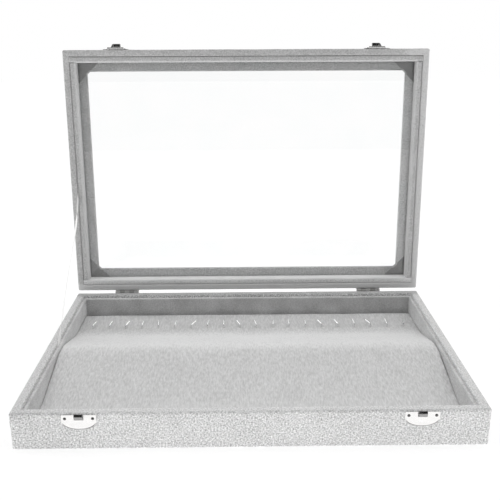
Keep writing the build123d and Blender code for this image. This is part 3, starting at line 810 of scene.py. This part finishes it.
class TRAY_OT_lid_cover(bpy.types.Operator):
    """Velvet over the lid, turned round the window edge in four flaps cut slanting at their ends"""

    bl_idname = "tray.lid_cover"
    bl_label = "Lid cover"

    def execute(self, context):
        size, tone = context.scene.tray_sizes, context.scene.tray_colours
        low, high, cloth, margin = LID_LOW[2], LID_HIGH[2], size.velvet, size.window_margin
        flap = margin - LID_WALL
        # Each row of a section is (inset, height, radius)
        edge = rounded_line(
            [
                (margin - WINDOW_LIP, PANEL_LOW, 0),
                (margin, PANEL_LOW, WINDOW_ROUND),
                (margin, high, WINDOW_ROUND),
                (margin - WINDOW_LIP, high, 0),
            ],
            6,
        )[1:-1]
        body = filled(
            rounded_line(
                [
                    (margin - WINDOW_LIP, high, 0),
                    (0, high, size.rim_round),
                    (0, low, size.rim_round),
                    (LID_WALL, low, size.rim_round_inner),
                    (LID_WALL, PANEL_LOW, 0),
                ],
                7,
            ),
            SECTION_STEP,
        )
        back = np.array(
            [
                (LID_WALL - cloth, PANEL_LOW),
                (LID_WALL - cloth, low + cloth),
                (cloth, low + cloth),
                (cloth, high - cloth),
                (margin - cloth, high - cloth),
                (margin - cloth, PANEL_LOW + cloth),
            ]
        )
        front_flap = np.tile((margin, PANEL_LOW), (len(FLAP_SHARES), 1))
        back_flap = np.tile((margin, PANEL_LOW + cloth), (len(FLAP_SHARES), 1))
        rows = np.vstack([front_flap, edge, body, back, back_flap])
        flat = np.zeros(len(edge) + len(body) + len(back))
        folded = np.concatenate([FLAP_SHARES, flat, FLAP_SHARES[::-1]])[:, None]

        # The corners turn from the box's arcs into the window's straight cuts
        inset = rows[:, :1]
        to_window = eased((inset - LID_WALL) / (flap - CUT_BAND))
        window_cut = size.window_chamfer + (margin - inset) * (2 - math.sqrt(2)) * (inset > margin - CUT_BAND)
        cut = (1 - to_window) * np.maximum(size.box_corner - inset, LEAST_CORNER) + to_window * window_cut
        half_x, half_y = HALF_W - margin, HALF_D - margin
        straight_x = 2 * (half_x - size.window_chamfer)
        straight_y = 2 * (half_y - size.window_chamfer)
        ends = np.concatenate([np.linspace(0.0015, flap, 7), [flap + 0.003]])
        ring = Ring(spread(straight_x, ends, 0.005), spread(straight_y, ends, 0.005))
        x, y = ring.place(HALF_W - inset, HALF_D - inset, cut, 1 - to_window)
        reach = np.clip(ring.reach(half_x, half_y, size.window_chamfer), LEAST_REACH, flap)
        x = x + ring.normal[:, 0] * folded * reach
        y = y + ring.normal[:, 1] * folded * reach
        z = np.broadcast_to(rows[:, 1:], x.shape).copy()

        outer = (np.arange(len(rows)) < len(rows) - len(back) - len(back_flap))[:, None]
        on_wall = outer * eased((z - low) / WALL_FADE) * eased((high - z) / WALL_FADE) * (inset < ON_WALL)
        on_rim = outer * eased((low + RIM_BAND - z) / RIM_FADE)
        x, y, z = uneven(ring, (x, y, z), on_wall, on_rim, LID_WAVE, RIM_SINK, 5)
        # The walls and the top have the outside's velvet, the rim and all inside it the same velvet darkened
        # as painted shade
        outside = outer[:, 0] & ((rows[:, 0] < ON_WALL) | (rows[:, 1] > high - ON_LID_TOP))
        shell = loop_shell(opened(np.stack([x, y, z], -1)))
        outside_finish = outside_velvet(tone, "short_pile_velvet_lid_outside")
        make_piece("lid_velvet", [shell], lid_velvet(tone), "lid", ["lid_velvet_cover"],
                   outside_finish, faces_between(outside, x.shape[1]))
        return {"FINISHED"}


# Liners


# Longest steps along a strip and round its section, and radii of its free edge towards room and wall
STRIP_STEP = 0.004
STRIP_SECTION_STEP = 0.003
BASE_STRIP_ROUNDS = 0.0012, 0.0006
LID_STRIP_ROUNDS = 0.002, 0.0018
# Depth and span of the waves in a strip's face and along its edge, and how far from its ends they fade
FACE_DENT, FACE_SPAN = 0.0002, 0.045
EDGE_DENT, EDGE_SPAN = 0.00012, 0.03
END_FADE = 0.01


def strip_grid(box, side, up, near_round, far_round, seed):
    """A wrapped strip beside one wall: its section, rounded at the end that up points to, carried along it.

    Its face and its free edge are dented by ripples.
    """
    low, high = box
    along, across = (0, 1) if side in ("front", "back") else (1, 0)
    room = 1 if side in ("front", "left") else -1
    wall = low[across] if room > 0 else high[across]
    width, height = high[across] - low[across], high[2] - low[2]
    outline = [(0, 0, 0), (0, height, far_round), (width, height, near_round), (width, 0, 0)]
    section = filled(rounded_line(outline, 6), STRIP_SECTION_STEP)
    run = np.linspace(low[along], high[along], round((high[along] - low[along]) / STRIP_STEP))
    a = np.broadcast_to(run[:, None], (len(run), len(section)))
    inward = np.broadcast_to(section[:, 0], a.shape).copy()
    rise = np.broadcast_to(section[:, 1], a.shape).copy()
    ends = np.minimum(a - low[along], high[along] - a)
    soft = eased(rise / height) * eased(ends / END_FADE)
    inward -= FACE_DENT * (1 + ripple(a, rise, FACE_SPAN, seed)) * soft * (section[:, 0] > width / 2)
    rise -= EDGE_DENT * (1 + ripple(a, inward, EDGE_SPAN, seed + 1)) * soft * (section[:, 1] > height / 2)
    grid = np.empty((*a.shape, 3))
    grid[..., along] = a
    grid[..., across] = wall + room * inward
    grid[..., 2] = low[2] + rise if up > 0 else high[2] - rise
    return grid


class TRAY_OT_liners(bpy.types.Operator):
    """Velvet-wrapped card strips inside the walls of the base and of the lid"""

    bl_idname = "tray.liners"
    bl_label = "Liners"

    def execute(self, context):
        tone = context.scene.tray_colours
        # Velvet wrapped round card by hand: its brushed patches show most on these narrow strips
        tones = tone.liner_low, tone.liner_high
        long_pile = velvet_finish("short_pile_velvet_liner", *tones, patch_share=0.4)
        tones = tone.side_low, tone.side_high
        side_pile = velvet_finish("short_pile_velvet_side_liner", *tones, patch_share=0.3)
        for number, side in enumerate(SIDES):
            name = "base_liner_" + side
            strip = strip_grid(box_of(name), side, 1, *BASE_STRIP_ROUNDS, 10 + 4 * number)
            pile = side_pile if side in ("left", "right") else long_pile
            make_piece(name + "_velvet", [tube_shell(strip)], pile, "base", [name])
            name = "lid_liner_" + side
            strip = opened(strip_grid(shut_box(name), side, -1, *LID_STRIP_ROUNDS, 12 + 4 * number))
            pile = lid_liner_velvet(tone, side)
            make_piece(name + "_velvet", [tube_shell(strip)], pile, "lid", [name])
        return {"FINISHED"}


# Pad


# Radii of the pad's section: rear edge, hollow of the well, hollow before the apron, front edge
REAR_ROUND, WELL_ROUND, APRON_ROUND, FRONT_ROUND = 0.0055, 0.1, 0.12, 0.002
PAD_STEP = 0.0022
# The section across the pad gives its side edges: its height, the edge's radius and the longest step
ACROSS_HEIGHT, ACROSS_ROUND, ACROSS_STEP = 0.012, 0.0011, 0.0013
# How much the foam falls off towards the side edges, and over what distance
SIDE_FALL, SIDE_REACH = 0.02, 0.004
# Depth and span of the pad's unevenness, and the height and the width at the sides over which it fades
PAD_WAVES = ((0.00016, 0.05), (0.00005, 0.012))
FOOT_FADE, SIDE_FADE = 0.004, 0.006
# Depth and reach of the puckers round each hook, and how near the hooks the section is finer
PUCKERS = ((0.0006, 0.0013), (0.00035, 0.0045))
NEAR_HOOKS = 0.012
# Points this near a hook's lowest height, or its furthest reach, make up its foot or its tip
FOOT_BAND, TIP_BAND = 0.0003, 0.0006


def hook_stands():
    """Each hook's foot, the way its arm points, its reach and its top, read from the frame's hooks."""
    stands = []
    for name in HOOKS:
        points = points_of(name)
        foot = points[points[:, 2] < points[:, 2].min() + FOOT_BAND].mean(0)
        off = points[:, :2] - foot[:2]
        far = np.hypot(off[:, 0], off[:, 1])
        tip = off[far > far.max() - TIP_BAND].mean(0)
        stands.append((*foot, math.atan2(tip[0], tip[1]), far.max(), points[:, 2].max()))
    return np.array(stands)


class TRAY_OT_pad(bpy.types.Operator):
    """The crowned velvet pad, puckered where the hooks pass through it"""

    bl_idname = "tray.pad"
    bl_label = "Pad"

    def execute(self, context):
        size, tone = context.scene.tray_sizes, context.scene.tray_colours
        stands_out = size.side_pile
        rear, front, half = PAD_HIGH[1] + stands_out, PAD_LOW[1] - stands_out, PAD_HIGH[0] + stands_out
        crest_y, well_y = PAD_HIGH[1] - size.crest_place, PAD_HIGH[1] - size.well_length
        behind = math.atan((size.crest_height - size.well_height) / (size.crest_place - size.well_length))
        before = math.atan((size.crest_height - size.apron_height) / (crest_y - front - size.apron_length))
        # The arc of the crest touches its height, so its corner stands above it
        crest = size.crest_height + size.crest_round * (1 / math.cos((behind + before) / 2) - 1)
        line = rounded_line(
            [
                (rear, 0, 0),
                (rear, size.well_height, REAR_ROUND),
                (well_y, size.well_height, WELL_ROUND),
                (crest_y, crest, size.crest_round),
                (front + size.apron_length, size.apron_height, APRON_ROUND),
                (front, size.front_height, FRONT_ROUND),
                (front, 0, 0),
            ],
            9,
        )
        line = filled(line, PAD_STEP)
        hooks = hook_stands()
        # Half steps near the hooks carry the puckers
        near_row = np.abs(line[:, 0] - hooks[0, 1]) < NEAR_HOOKS
        first, count = np.argmax(near_row), near_row.sum()
        halves, wholes = np.arange(0, count, 0.5), np.arange(count)
        finer = np.stack([np.interp(halves, wholes, column) for column in line[near_row].T], 1)
        line = np.vstack([line[:first], finer, line[first + count :]])
        # The same kind of line across the pad gives its rounded side edges, as shares of the height
        edge = ACROSS_HEIGHT, ACROSS_ROUND
        across = rounded_line([(-half, 0, 0), (-half, *edge), (half, *edge), (half, 0, 0)], 6)
        across = filled(across, ACROSS_STEP)
        x = np.broadcast_to(across[:, :1], (len(across), len(line)))
        y = np.broadcast_to(line[:, 0], x.shape).copy()
        height = line[:, 1] * across[:, 1:] / ACROSS_HEIGHT
        from_side = half - np.abs(x)
        height = height * (1 - SIDE_FALL * np.exp(-from_side / SIDE_REACH))
        on_top = eased(height / FOOT_FADE) * eased(from_side / SIDE_FADE)
        for seed, (depth, span) in enumerate(PAD_WAVES, 30):
            height += depth * on_top * ripple(x, y, span, seed)
        near = (x[..., None] - hooks[:, 0]) ** 2 + (y[..., None] - hooks[:, 1]) ** 2
        for depth, reach in PUCKERS:
            height -= depth * on_top * np.exp(-near / (2 * reach**2)).sum(-1)
        grid = np.stack([x, y, FLOOR_TOP + height], -1)
        # Velvet stretched over foam and rubbed by necklaces: calmer than the box's, with rows along y. A
        # painted highlight makes it paler behind the crest, and painted shade makes it darker in the well,
        # under the rear wall and the open lid.
        painted_bands = [((0, 1, 0), -0.012, 0.008, 0.45), ((0, 1, 0), 0.042, 0.07, -0.7)]
        pile = velvet_finish("short_pile_velvet_pad", tone.pad_low, tone.pad_high, painted_bands, (1, 0.2, 1))
        shell = pillow_shell(grid)
        pad = make_piece("pad_velvet", [shell], pile, "base", ["insert_velvet", "insert_foam"])
        return {"FINISHED"}


# Wires and nails


# Each end of a wire is a half ball of this many rings
DOME_RINGS = 4
# How a hook's arm rises towards its tip, and the longest step along its wire
HOOK_SLOPE = math.radians(10)
WIRE_STEP = 0.0015


def domed_wire(line, radius, faces):
    """A round wire along a line in the plane of (forward, up), each end closed by a half ball.

    A ring of the wire is centre + radius * (cos(t) * normal + sin(t) * sideways); at the ends the
    radius falls by the cosine of an angle while the centre moves on by its sine.
    """
    dome = np.linspace(0, math.pi / 2, DOME_RINGS + 1)[1:]
    heading = np.gradient(line, axis=0)
    heading /= np.linalg.norm(heading, axis=1)[:, None]
    start = line[0] - heading[0] * radius * np.sin(dome)[::-1, None]
    end = line[-1] + heading[-1] * radius * np.sin(dome)[:, None]
    centre = np.vstack([start, line, end])
    first, last = (np.tile(heading[at], (DOME_RINGS, 1)) for at in (0, -1))
    heading = np.vstack([first, heading, last])
    thick = radius * np.concatenate([np.cos(dome)[::-1], np.ones(len(line)), np.cos(dome)])
    t = np.linspace(0, 2 * math.pi, faces, endpoint=False)
    forward = centre[:, :1] - heading[:, 1:] * thick[:, None] * np.cos(t)
    up = centre[:, 1:] + heading[:, :1] * thick[:, None] * np.cos(t)
    return np.stack([thick[:, None] * np.sin(t), forward, up], -1)


class TRAY_OT_hooks(bpy.types.Operator):
    """Bent chrome wires, each turned its own way"""

    bl_idname = "tray.hooks"
    bl_label = "Hooks"

    def execute(self, context):
        size, tone = context.scene.tray_sizes, context.scene.tray_colours
        radius = size.hook_wire / 2
        # Drawn steel wire, chrome plated: bright, with a soft edge to what it mirrors
        finish = metal_finish("chrome_plated_wire", tone.wire, 0.15)
        for name, (x, y, foot, turn, reach, top) in zip(HOOKS, hook_stands()):
            tip = top - radius
            knee = tip - (reach - radius) * math.tan(HOOK_SLOPE)
            corners = [(0, foot + radius, 0), (0, knee, size.hook_bend), (reach - radius, tip, 0)]
            wire = domed_wire(filled(rounded_line(corners, 7), WIRE_STEP), radius, size.wire_faces)
            c, s = math.cos(turn), math.sin(turn)
            sideways, forward, z = np.moveaxis(wire, -1, 0)
            grid = np.stack([x + sideways * c + forward * s, y - sideways * s + forward * c, z], -1)
            make_piece(name + "_wire", [tube_shell(grid)], finish, "base", [name])
        return {"FINISHED"}


# Nails stand further apart than this, their shanks reach this far behind the head, and the underside of
# a head is this share of its width
NAIL_GAP = 0.003
SHANK_LENGTH = 0.0009
HEAD_BACK = 0.9


def nail_places(points):
    """Centre x, outermost y, centre z and side of each nail in a cloud of points."""
    places = []
    for side in (-1, 1):
        row = points[points[:, 1] * side > 0]
        row = row[np.argsort(row[:, 0])]
        for nail in np.split(row, np.flatnonzero(np.diff(row[:, 0]) > NAIL_GAP) + 1):
            middle = (nail.min(0) + nail.max(0)) / 2
            places.append((middle[0], np.abs(nail[:, 1]).max(), middle[2], side))
    return places


def nail_grid(size, x, y, z, side):
    """A domed head on a short shank, turned about its axis.

    The dome's rise is its height times one less the square of the radius over the head's radius. Its
    rings come closer towards the rim.
    """
    out = np.linspace(0, 1, 7) ** 0.7
    shank = [size.nail_head * HEAD_BACK, size.nail_shank, size.nail_shank, 0]
    radius = np.concatenate([out * size.nail_head, shank])
    rise = np.concatenate([size.nail_dome * (1 - out**2), [0, 0, -SHANK_LENGTH, -SHANK_LENGTH]])
    t = np.linspace(0, 2 * math.pi, 20, endpoint=False)
    outward = y - size.nail_dome + np.broadcast_to(rise[:, None], (len(rise), len(t)))
    return np.stack([x + radius[:, None] * np.cos(t), side * outward, z + radius[:, None] * np.sin(t)], -1)


class TRAY_OT_nails(bpy.types.Operator):
    """Dome-headed nails in the catch plates, latch plates and hinge leaves"""

    bl_idname = "tray.nails"
    bl_label = "Nails"

    def execute(self, context):
        size, tone = context.scene.tray_sizes, context.scene.tray_colours
        # Bright steel, upset into a dome, coloured darker than steel as a painted dark reflection, so each
        # nail reads as a dot against the nickel round it
        finish = metal_finish("bright_steel_nail", tone.steel, 0.22, 0.12)
        heads = [tube_shell(nail_grid(size, *place)) for place in nail_places(points_of("base_nails"))]
        make_piece("base_nail_heads", heads, finish, "base", ["base_nails"])
        places = nail_places(turned(points_of("lid_nails"), OPEN_ANGLE))
        heads = [tube_shell(opened(nail_grid(size, *place))) for place in places]
        make_piece("lid_nail_heads", heads, finish, "lid", ["lid_nails"])
        return {"FINISHED"}


# Ribbon


# The ribbon's route: share of its length, share of the way from the base's seam to the lid's in x, and metres
# that it stands off to the right
RIBBON_ROUTE = (
    (0.0, 0.0, 0.0),
    (0.1, 0.0, 0.0),
    (0.3, 0.1, -0.0008),
    (0.52, 0.55, 0.0002),
    (0.74, 0.95, 0.0021),
    (0.9, 1.0, 0.0),
    (1.0, 1.0, 0.0),
)

# Height of the ribbon's ends whose middles count as its seams
RIBBON_SEAM = 0.004
# Shares of the run that stay flat at each end, and over which the twist then grows
FLAT_SHARE, TWIST_SHARE = 0.1, 0.12


def smooth_line(points):
    """Points along the smooth curve that a few points steer: a NURBS spline of order 3, from end to end."""
    data = bpy.data.curves.new("route", "CURVE")
    data.dimensions = "3D"
    spline = data.splines.new("NURBS")
    spline.points.add(len(points) - 1)
    spline.points.foreach_set("co", np.column_stack([points, np.ones(len(points))]).ravel())
    spline.order_u = 3
    spline.use_endpoint_u = True
    spline.resolution_u = 14
    holder = bpy.data.objects.new("route", data)
    mesh = bpy.data.meshes.new_from_object(holder)
    found = np.empty(len(mesh.vertices) * 3, np.float32)
    mesh.vertices.foreach_get("co", found)
    bpy.data.meshes.remove(mesh)
    bpy.data.objects.remove(holder)
    bpy.data.curves.remove(data)
    return found.reshape(-1, 3).astype(float)


class TRAY_OT_ribbon(bpy.types.Operator):
    """The stay ribbon: a flat satin band from the seam of the base to the seam of the lid"""

    bl_idname = "tray.ribbon"
    bl_label = "Stay ribbon"

    def execute(self, context):
        size, tone = context.scene.tray_sizes, context.scene.tray_colours
        points = points_of("stay_ribbon")
        lowest = points[points[:, 2] < points[:, 2].min() + RIBBON_SEAM].mean(0)
        highest = points[points[:, 2] > points[:, 2].max() - RIBBON_SEAM].mean(0)
        run = float(np.linalg.norm((highest - lowest)[1:]))
        heading = (highest - lowest)[1:] / run
        share, across, off = np.array(RIBBON_ROUTE).T
        route = lowest + (highest - lowest) * np.stack([across, share, share], 1)
        route[:, 0] += off
        line = smooth_line(route)
        x, w = line[:, :1], ((line[:, 1:] - lowest[1:]) @ heading / run)[:, None]
        free = eased((w - FLAT_SHARE) / TWIST_SHARE) * eased((1 - FLAT_SHARE - w) / TWIST_SHARE)
        # The twist sways by a quarter, about one and a half times along the run
        twist = size.ribbon_twist * free * (1 + 0.25 * np.sin(9 * w))
        # The section is a flat rectangle with points every fifth of a side, turned by the twist
        corners = np.array([(-0.5, -0.5), (0.5, -0.5), (0.5, 0.5), (-0.5, 0.5), (-0.5, -0.5)])
        section = filled(corners, 0.2)[:-1]
        lean, thick = section[:, 0] * size.ribbon_width, section[:, 1] * size.ribbon_thick
        beside = lean * np.cos(twist) - thick * np.sin(twist)
        y = lowest[1] + heading[0] * run * w - heading[1] * beside
        z = lowest[2] + heading[1] * run * w + heading[0] * beside
        grid = np.stack([x + lean * np.sin(twist) + thick * np.cos(twist), y, z], -1)
        # Polyester satin: white, with a soft gloss that runs in streaks along the band
        finish = satin_finish("white_satin_ribbon", tone.satin)
        ribbon = make_piece("stay_ribbon_band", [tube_shell(grid)], finish, None, ["stay_ribbon"])
        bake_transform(ribbon)
        return {"FINISHED"}


# What stays as the frame has it


class TRAY_OT_carcass(bpy.types.Operator):
    """Finishes for the boards, the card in the pad and the sheet under the base"""

    bl_idname = "tray.carcass"
    bl_label = "Carcass"

    def execute(self, context):
        # Wood fibres pressed with resin and sawn: light brown, dull, finely flecked
        board = fibre_finish("medium_density_board", "#A08A6C", "#B59E7E", 0.0006)
        dress(board, *(part + side + "_board" for part in ("base_", "lid_") for side in SIDES))
        # Paper with short fibres glued on: a soft grey with no gloss at all in the gap behind the pad
        dress(fibre_finish("flocked_lining_paper", "#8C8C8D", "#A4A4A5", 0.001, 0.95), "base_floor_board")
        # Pulped waste paper rolled to board: a flat grey with specks, seen at the window's cut edge
        dress(fibre_finish("grey_chipboard", "#7E7E7D", "#919190", 0.0009), "lid_top_panel")
        # Straw pulp pressed to card: dull yellow with coarse flecks
        dress(fibre_finish("straw_card", "#9A8E78", "#ADA28C", 0.0008), "insert_board")
        # Fibres matted with needles: dark grey, fuzzy, without gloss
        dress(fibre_finish("needled_felt", "#6E6E70", "#858587", 0.0011, 0.95), "underside_sheet")
        return {"FINISHED"}


class TRAY_OT_hardware(bpy.types.Operator):
    """Finishes for the catches, latches, hoods, hinges and pins"""

    bl_idname = "tray.hardware"
    bl_label = "Hardware"

    def execute(self, context):
        tone = context.scene.tray_colours
        # Stamped steel, nickel plated: bright plate, with a painted dark reflection on the nose and painted
        # shade along the lower edge
        painted_dark = catch_painted_dark(context.scene.tray_sizes.catch_drop)
        catch = metal_finish("nickel_catch_painted_dark", tone.nickel, 0.2, painted_dark=painted_dark)
        dress(catch, "catch_plate_left", "catch_plate_right")
        # The same plating without the painted dark: an even, slightly soft mirror
        plate = metal_finish("polished_nickel_plate", tone.nickel, 0.2)
        dress(plate, "latch_plate_left", "latch_plate_right")
        # Pressed and tumbled bright before plating: the sharpest mirror, so the hoods go nearly black
        dress(metal_finish("polished_nickel_hood", tone.nickel, 0.1), "hasp_left", "hasp_right")
        # Rolled strip under thin nickel: a satin sheen that blurs what it mirrors
        leaf = metal_finish("satin_nickel_leaf", tone.nickel, 0.35)
        dress(leaf, "hinge_base_leaf_left", "hinge_base_leaf_right")
        # The lid's leaves: duller, and a little darker in colour as painted shade on their knuckles
        leaf = metal_finish("dull_nickel_leaf", tone.leaf, 0.42)
        dress(leaf, "hinge_lid_leaf_left", "hinge_lid_leaf_right")
        # Bare steel wire drawn through a die: dark against the plating, its dark colour a painted dark
        # reflection
        dress(metal_finish("drawn_steel_pin", tone.steel, 0.25), "hinge_pins", "hasp_pins")
        return {"FINISHED"}


class TRAY_OT_pane(bpy.types.Operator):
    """The finish of the glass pane"""

    bl_idname = "tray.pane"
    bl_label = "Glass pane"

    def execute(self, context):
        dress(glass_finish("clear_float_glass"), "glass_pane")
        return {"FINISHED"}


# Stage


# The camera fitted to the photo: where it stands, how it is turned, and its focal length in mm
CAMERA_PLACE = Vector((-0.00577, -0.58710, 0.30270))
CAMERA_PITCH = math.radians(17.829)
CAMERA_YAW = math.radians(0.665)
CAMERA_ROLL = math.radians(-0.223)
CAMERA_LENS = 52.671
# Half the floor's side, and how far it lies below the tray's underside
FLOOR_HALF = 3.0
FLOOR_DROP = 1e-4
# Whiteness and glow of the floor, as the tray is lit by it and as it is seen
FLOOR_BOUNCE = 0.8, 0.95
FLOOR_SEEN = 0.4, 0.64
# Brightness of the world, as the tray is lit by it and as it is seen
WORLD_FILL = 0.2
WORLD_SEEN = 1.0
# Half the flag's width, and its sheets as pairs of (y, z)
FLAG_HALF = 2.4
FLAG_LINES = (((-1.9, 0.0), (-1.9, 2.6)), ((-1.9, 2.6), (-0.75, 2.6)), ((-0.2, 2.6), (2.2, 2.6)))
FLAG_GRAIN = 0.002
# Each lamp's name, the way towards it, how wide it looks in degrees, and its power
LAMPS = (
    ("overhead_bank", (0.0, 0.1, 1.0), 85, 1.7),
    ("left_bank", (-1.0, 0.0, 0.6), 60, 0.75),
    ("right_bank", (1.0, 0.0, 0.6), 60, 0.75),
)


def lit_or_seen(tree, lit, seen):
    """One shader for the light that reaches the tray, and another where a background shows.

    A background shows directly, in metal or through glass.
    """
    path = add_node(tree, "ShaderNodeLightPath")
    shows = path.outputs["Is Camera Ray"]
    for name in ("Is Glossy Ray", "Is Transmission Ray"):
        either = {0: shows, 1: path.outputs[name]}
        shows = add_node(tree, "ShaderNodeMath", either, operation="MAXIMUM").outputs[0]
    return add_node(tree, "ShaderNodeMixShader", {0: shows, 1: lit, 2: seen}).outputs["Shader"]


def lit_white(tree, share, strength):
    """Matte white that also gives light of its own, as an overexposed sweep does."""
    matte = add_node(tree, "ShaderNodeBsdfDiffuse", {"Color": (share, share, share, 1)})
    glow = add_node(tree, "ShaderNodeEmission", {"Color": (1, 1, 1, 1), "Strength": strength})
    both = {0: matte.outputs["BSDF"], 1: glow.outputs["Emission"]}
    return add_node(tree, "ShaderNodeAddShader", both).outputs["Shader"]


def stage_piece(name, corners, faces, finishes):
    """A flat piece of the studio with its finishes."""
    mesh = bpy.data.meshes.new(name)
    mesh.from_pydata(corners, [], faces)
    for finish in finishes:
        mesh.materials.append(finish)
    made = bpy.data.objects.new(name, mesh)
    bpy.context.scene.collection.objects.link(made)
    return made


def add_floor():
    """A sweep of overexposed white paper: it lights the tray from below, keeps its shadow and looks white."""
    half, z = FLOOR_HALF, -FLOOR_DROP
    finish, tree, _ = new_finish("matte_white_floor")
    shown = lit_or_seen(tree, lit_white(tree, *FLOOR_BOUNCE), lit_white(tree, *FLOOR_SEEN))
    add_node(tree, "ShaderNodeOutputMaterial", {"Surface": shown})
    corners = [(-half, -half, z), (half, -half, z), (half, half, z), (-half, half, z)]
    stage_piece("floor", corners, [(0, 1, 2, 3)], [finish])


def add_flag():
    """A black flag behind the camera and overhead with a grey canopy, met by reflections only.

    Black flock and grey cloth swallow light, and that gives polished metal its dark streaks.
    """
    flock = fibre_finish("black_flock", "#050505", "#0C0C0C", FLAG_GRAIN)
    canopy = fibre_finish("grey_canopy", "#5C5C5C", "#646464", FLAG_GRAIN)
    corners = [(x, y, z) for line in FLAG_LINES for y, z in line for x in (-FLAG_HALF, FLAG_HALF)]
    faces = [(n, n + 1, n + 3, n + 2) for n in range(0, len(corners), 4)]
    flag = stage_piece("flag", corners, faces, [flock, canopy])
    flag.data.polygons.foreach_set("material_index", [0, 0, 1])
    flag.visible_camera = flag.visible_diffuse = flag.visible_transmission = flag.visible_shadow = False


def add_world():
    """A white studio: faint fill on the tray, pure white wherever it shows."""
    world = bpy.data.worlds.new("white_studio")
    world.use_nodes = True
    tree = world.node_tree
    tree.nodes.clear()
    lit, seen = (
        add_node(tree, "ShaderNodeBackground", {"Color": (1, 1, 1, 1), "Strength": strength})
        for strength in (WORLD_FILL, WORLD_SEEN)
    )
    both = lit_or_seen(tree, lit.outputs["Background"], seen.outputs["Background"])
    add_node(tree, "ShaderNodeOutputWorld", {"Surface": both})
    bpy.context.scene.world = world


def add_lamp(name, toward, angle, power):
    """A far, wide light whose rays come from one direction; mirrors and metal don't show it."""
    data = bpy.data.lights.new(name, "SUN")
    data.angle = math.radians(angle)
    data.energy = power
    made = bpy.data.objects.new(name, data)
    bpy.context.scene.collection.objects.link(made)
    made.matrix_world = Vector(toward).to_track_quat("Z", "Y").to_matrix().to_4x4()
    made.visible_glossy = False


def add_camera():
    """The photo's camera.

    It looks level along +Y, is turned towards +X by its yaw and down by its pitch, and then rolls.
    """
    pitch, yaw, roll = CAMERA_PITCH, CAMERA_YAW, CAMERA_ROLL
    ahead = Vector((math.sin(yaw) * math.cos(pitch), math.cos(yaw) * math.cos(pitch), -math.sin(pitch)))
    level = Vector((math.cos(yaw), -math.sin(yaw), 0))
    upright = level.cross(ahead)
    right = level * math.cos(roll) + upright * math.sin(roll)
    up = upright * math.cos(roll) - level * math.sin(roll)
    data = bpy.data.cameras.new("camera")
    data.lens = CAMERA_LENS
    data.sensor_width = 36.0
    data.clip_end = 20.0
    camera = bpy.data.objects.new("camera", data)
    bpy.context.scene.collection.objects.link(camera)
    turn = Matrix((right, up, -ahead)).transposed().to_4x4()
    camera.matrix_world = Matrix.Translation(CAMERA_PLACE) @ turn
    bpy.context.scene.camera = camera


class TRAY_OT_stage(bpy.types.Operator):
    """White floor, soft studio light and the camera of the photograph"""

    bl_idname = "tray.stage"
    bl_label = "Stage"

    def execute(self, context):
        context.scene.view_settings.view_transform = "Standard"
        add_floor()
        add_flag()
        add_world()
        for lamp in LAMPS:
            add_lamp(*lamp)
        add_camera()
        return {"FINISHED"}


STEPS = (
    TRAY_OT_base_cover,
    TRAY_OT_lid_cover,
    TRAY_OT_liners,
    TRAY_OT_pad,
    TRAY_OT_hooks,
    TRAY_OT_nails,
    TRAY_OT_ribbon,
    TRAY_OT_carcass,
    TRAY_OT_hardware,
    TRAY_OT_pane,
    TRAY_OT_stage,
)


class TRAY_PT_panel(bpy.types.Panel):
    """The tray's steps, in order"""

    bl_label = "Display tray"
    bl_idname = "TRAY_PT_panel"
    bl_space_type = "VIEW_3D"
    bl_region_type = "UI"
    bl_category = "Tray"

    def draw(self, context):
        for step in STEPS:
            self.layout.operator(step.bl_idname)
        for group in (context.scene.tray_sizes, context.scene.tray_colours):
            for name in group.__annotations__:
                self.layout.prop(group, name)


CLASSES = (TraySizes, TrayColours, *STEPS, TRAY_PT_panel)


def register():
    for each in CLASSES:
        bpy.utils.register_class(each)
    bpy.types.Scene.tray_sizes = PointerProperty(type=TraySizes)
    bpy.types.Scene.tray_colours = PointerProperty(type=TrayColours)


def unregister():
    del bpy.types.Scene.tray_colours
    del bpy.types.Scene.tray_sizes
    for each in reversed(CLASSES):
        bpy.utils.unregister_class(each)


def main():
    register()
    for step in STEPS:
        group, name = step.bl_idname.split(".")
        getattr(getattr(bpy.ops, group), name)()


if __name__ == "__main__":
    main()
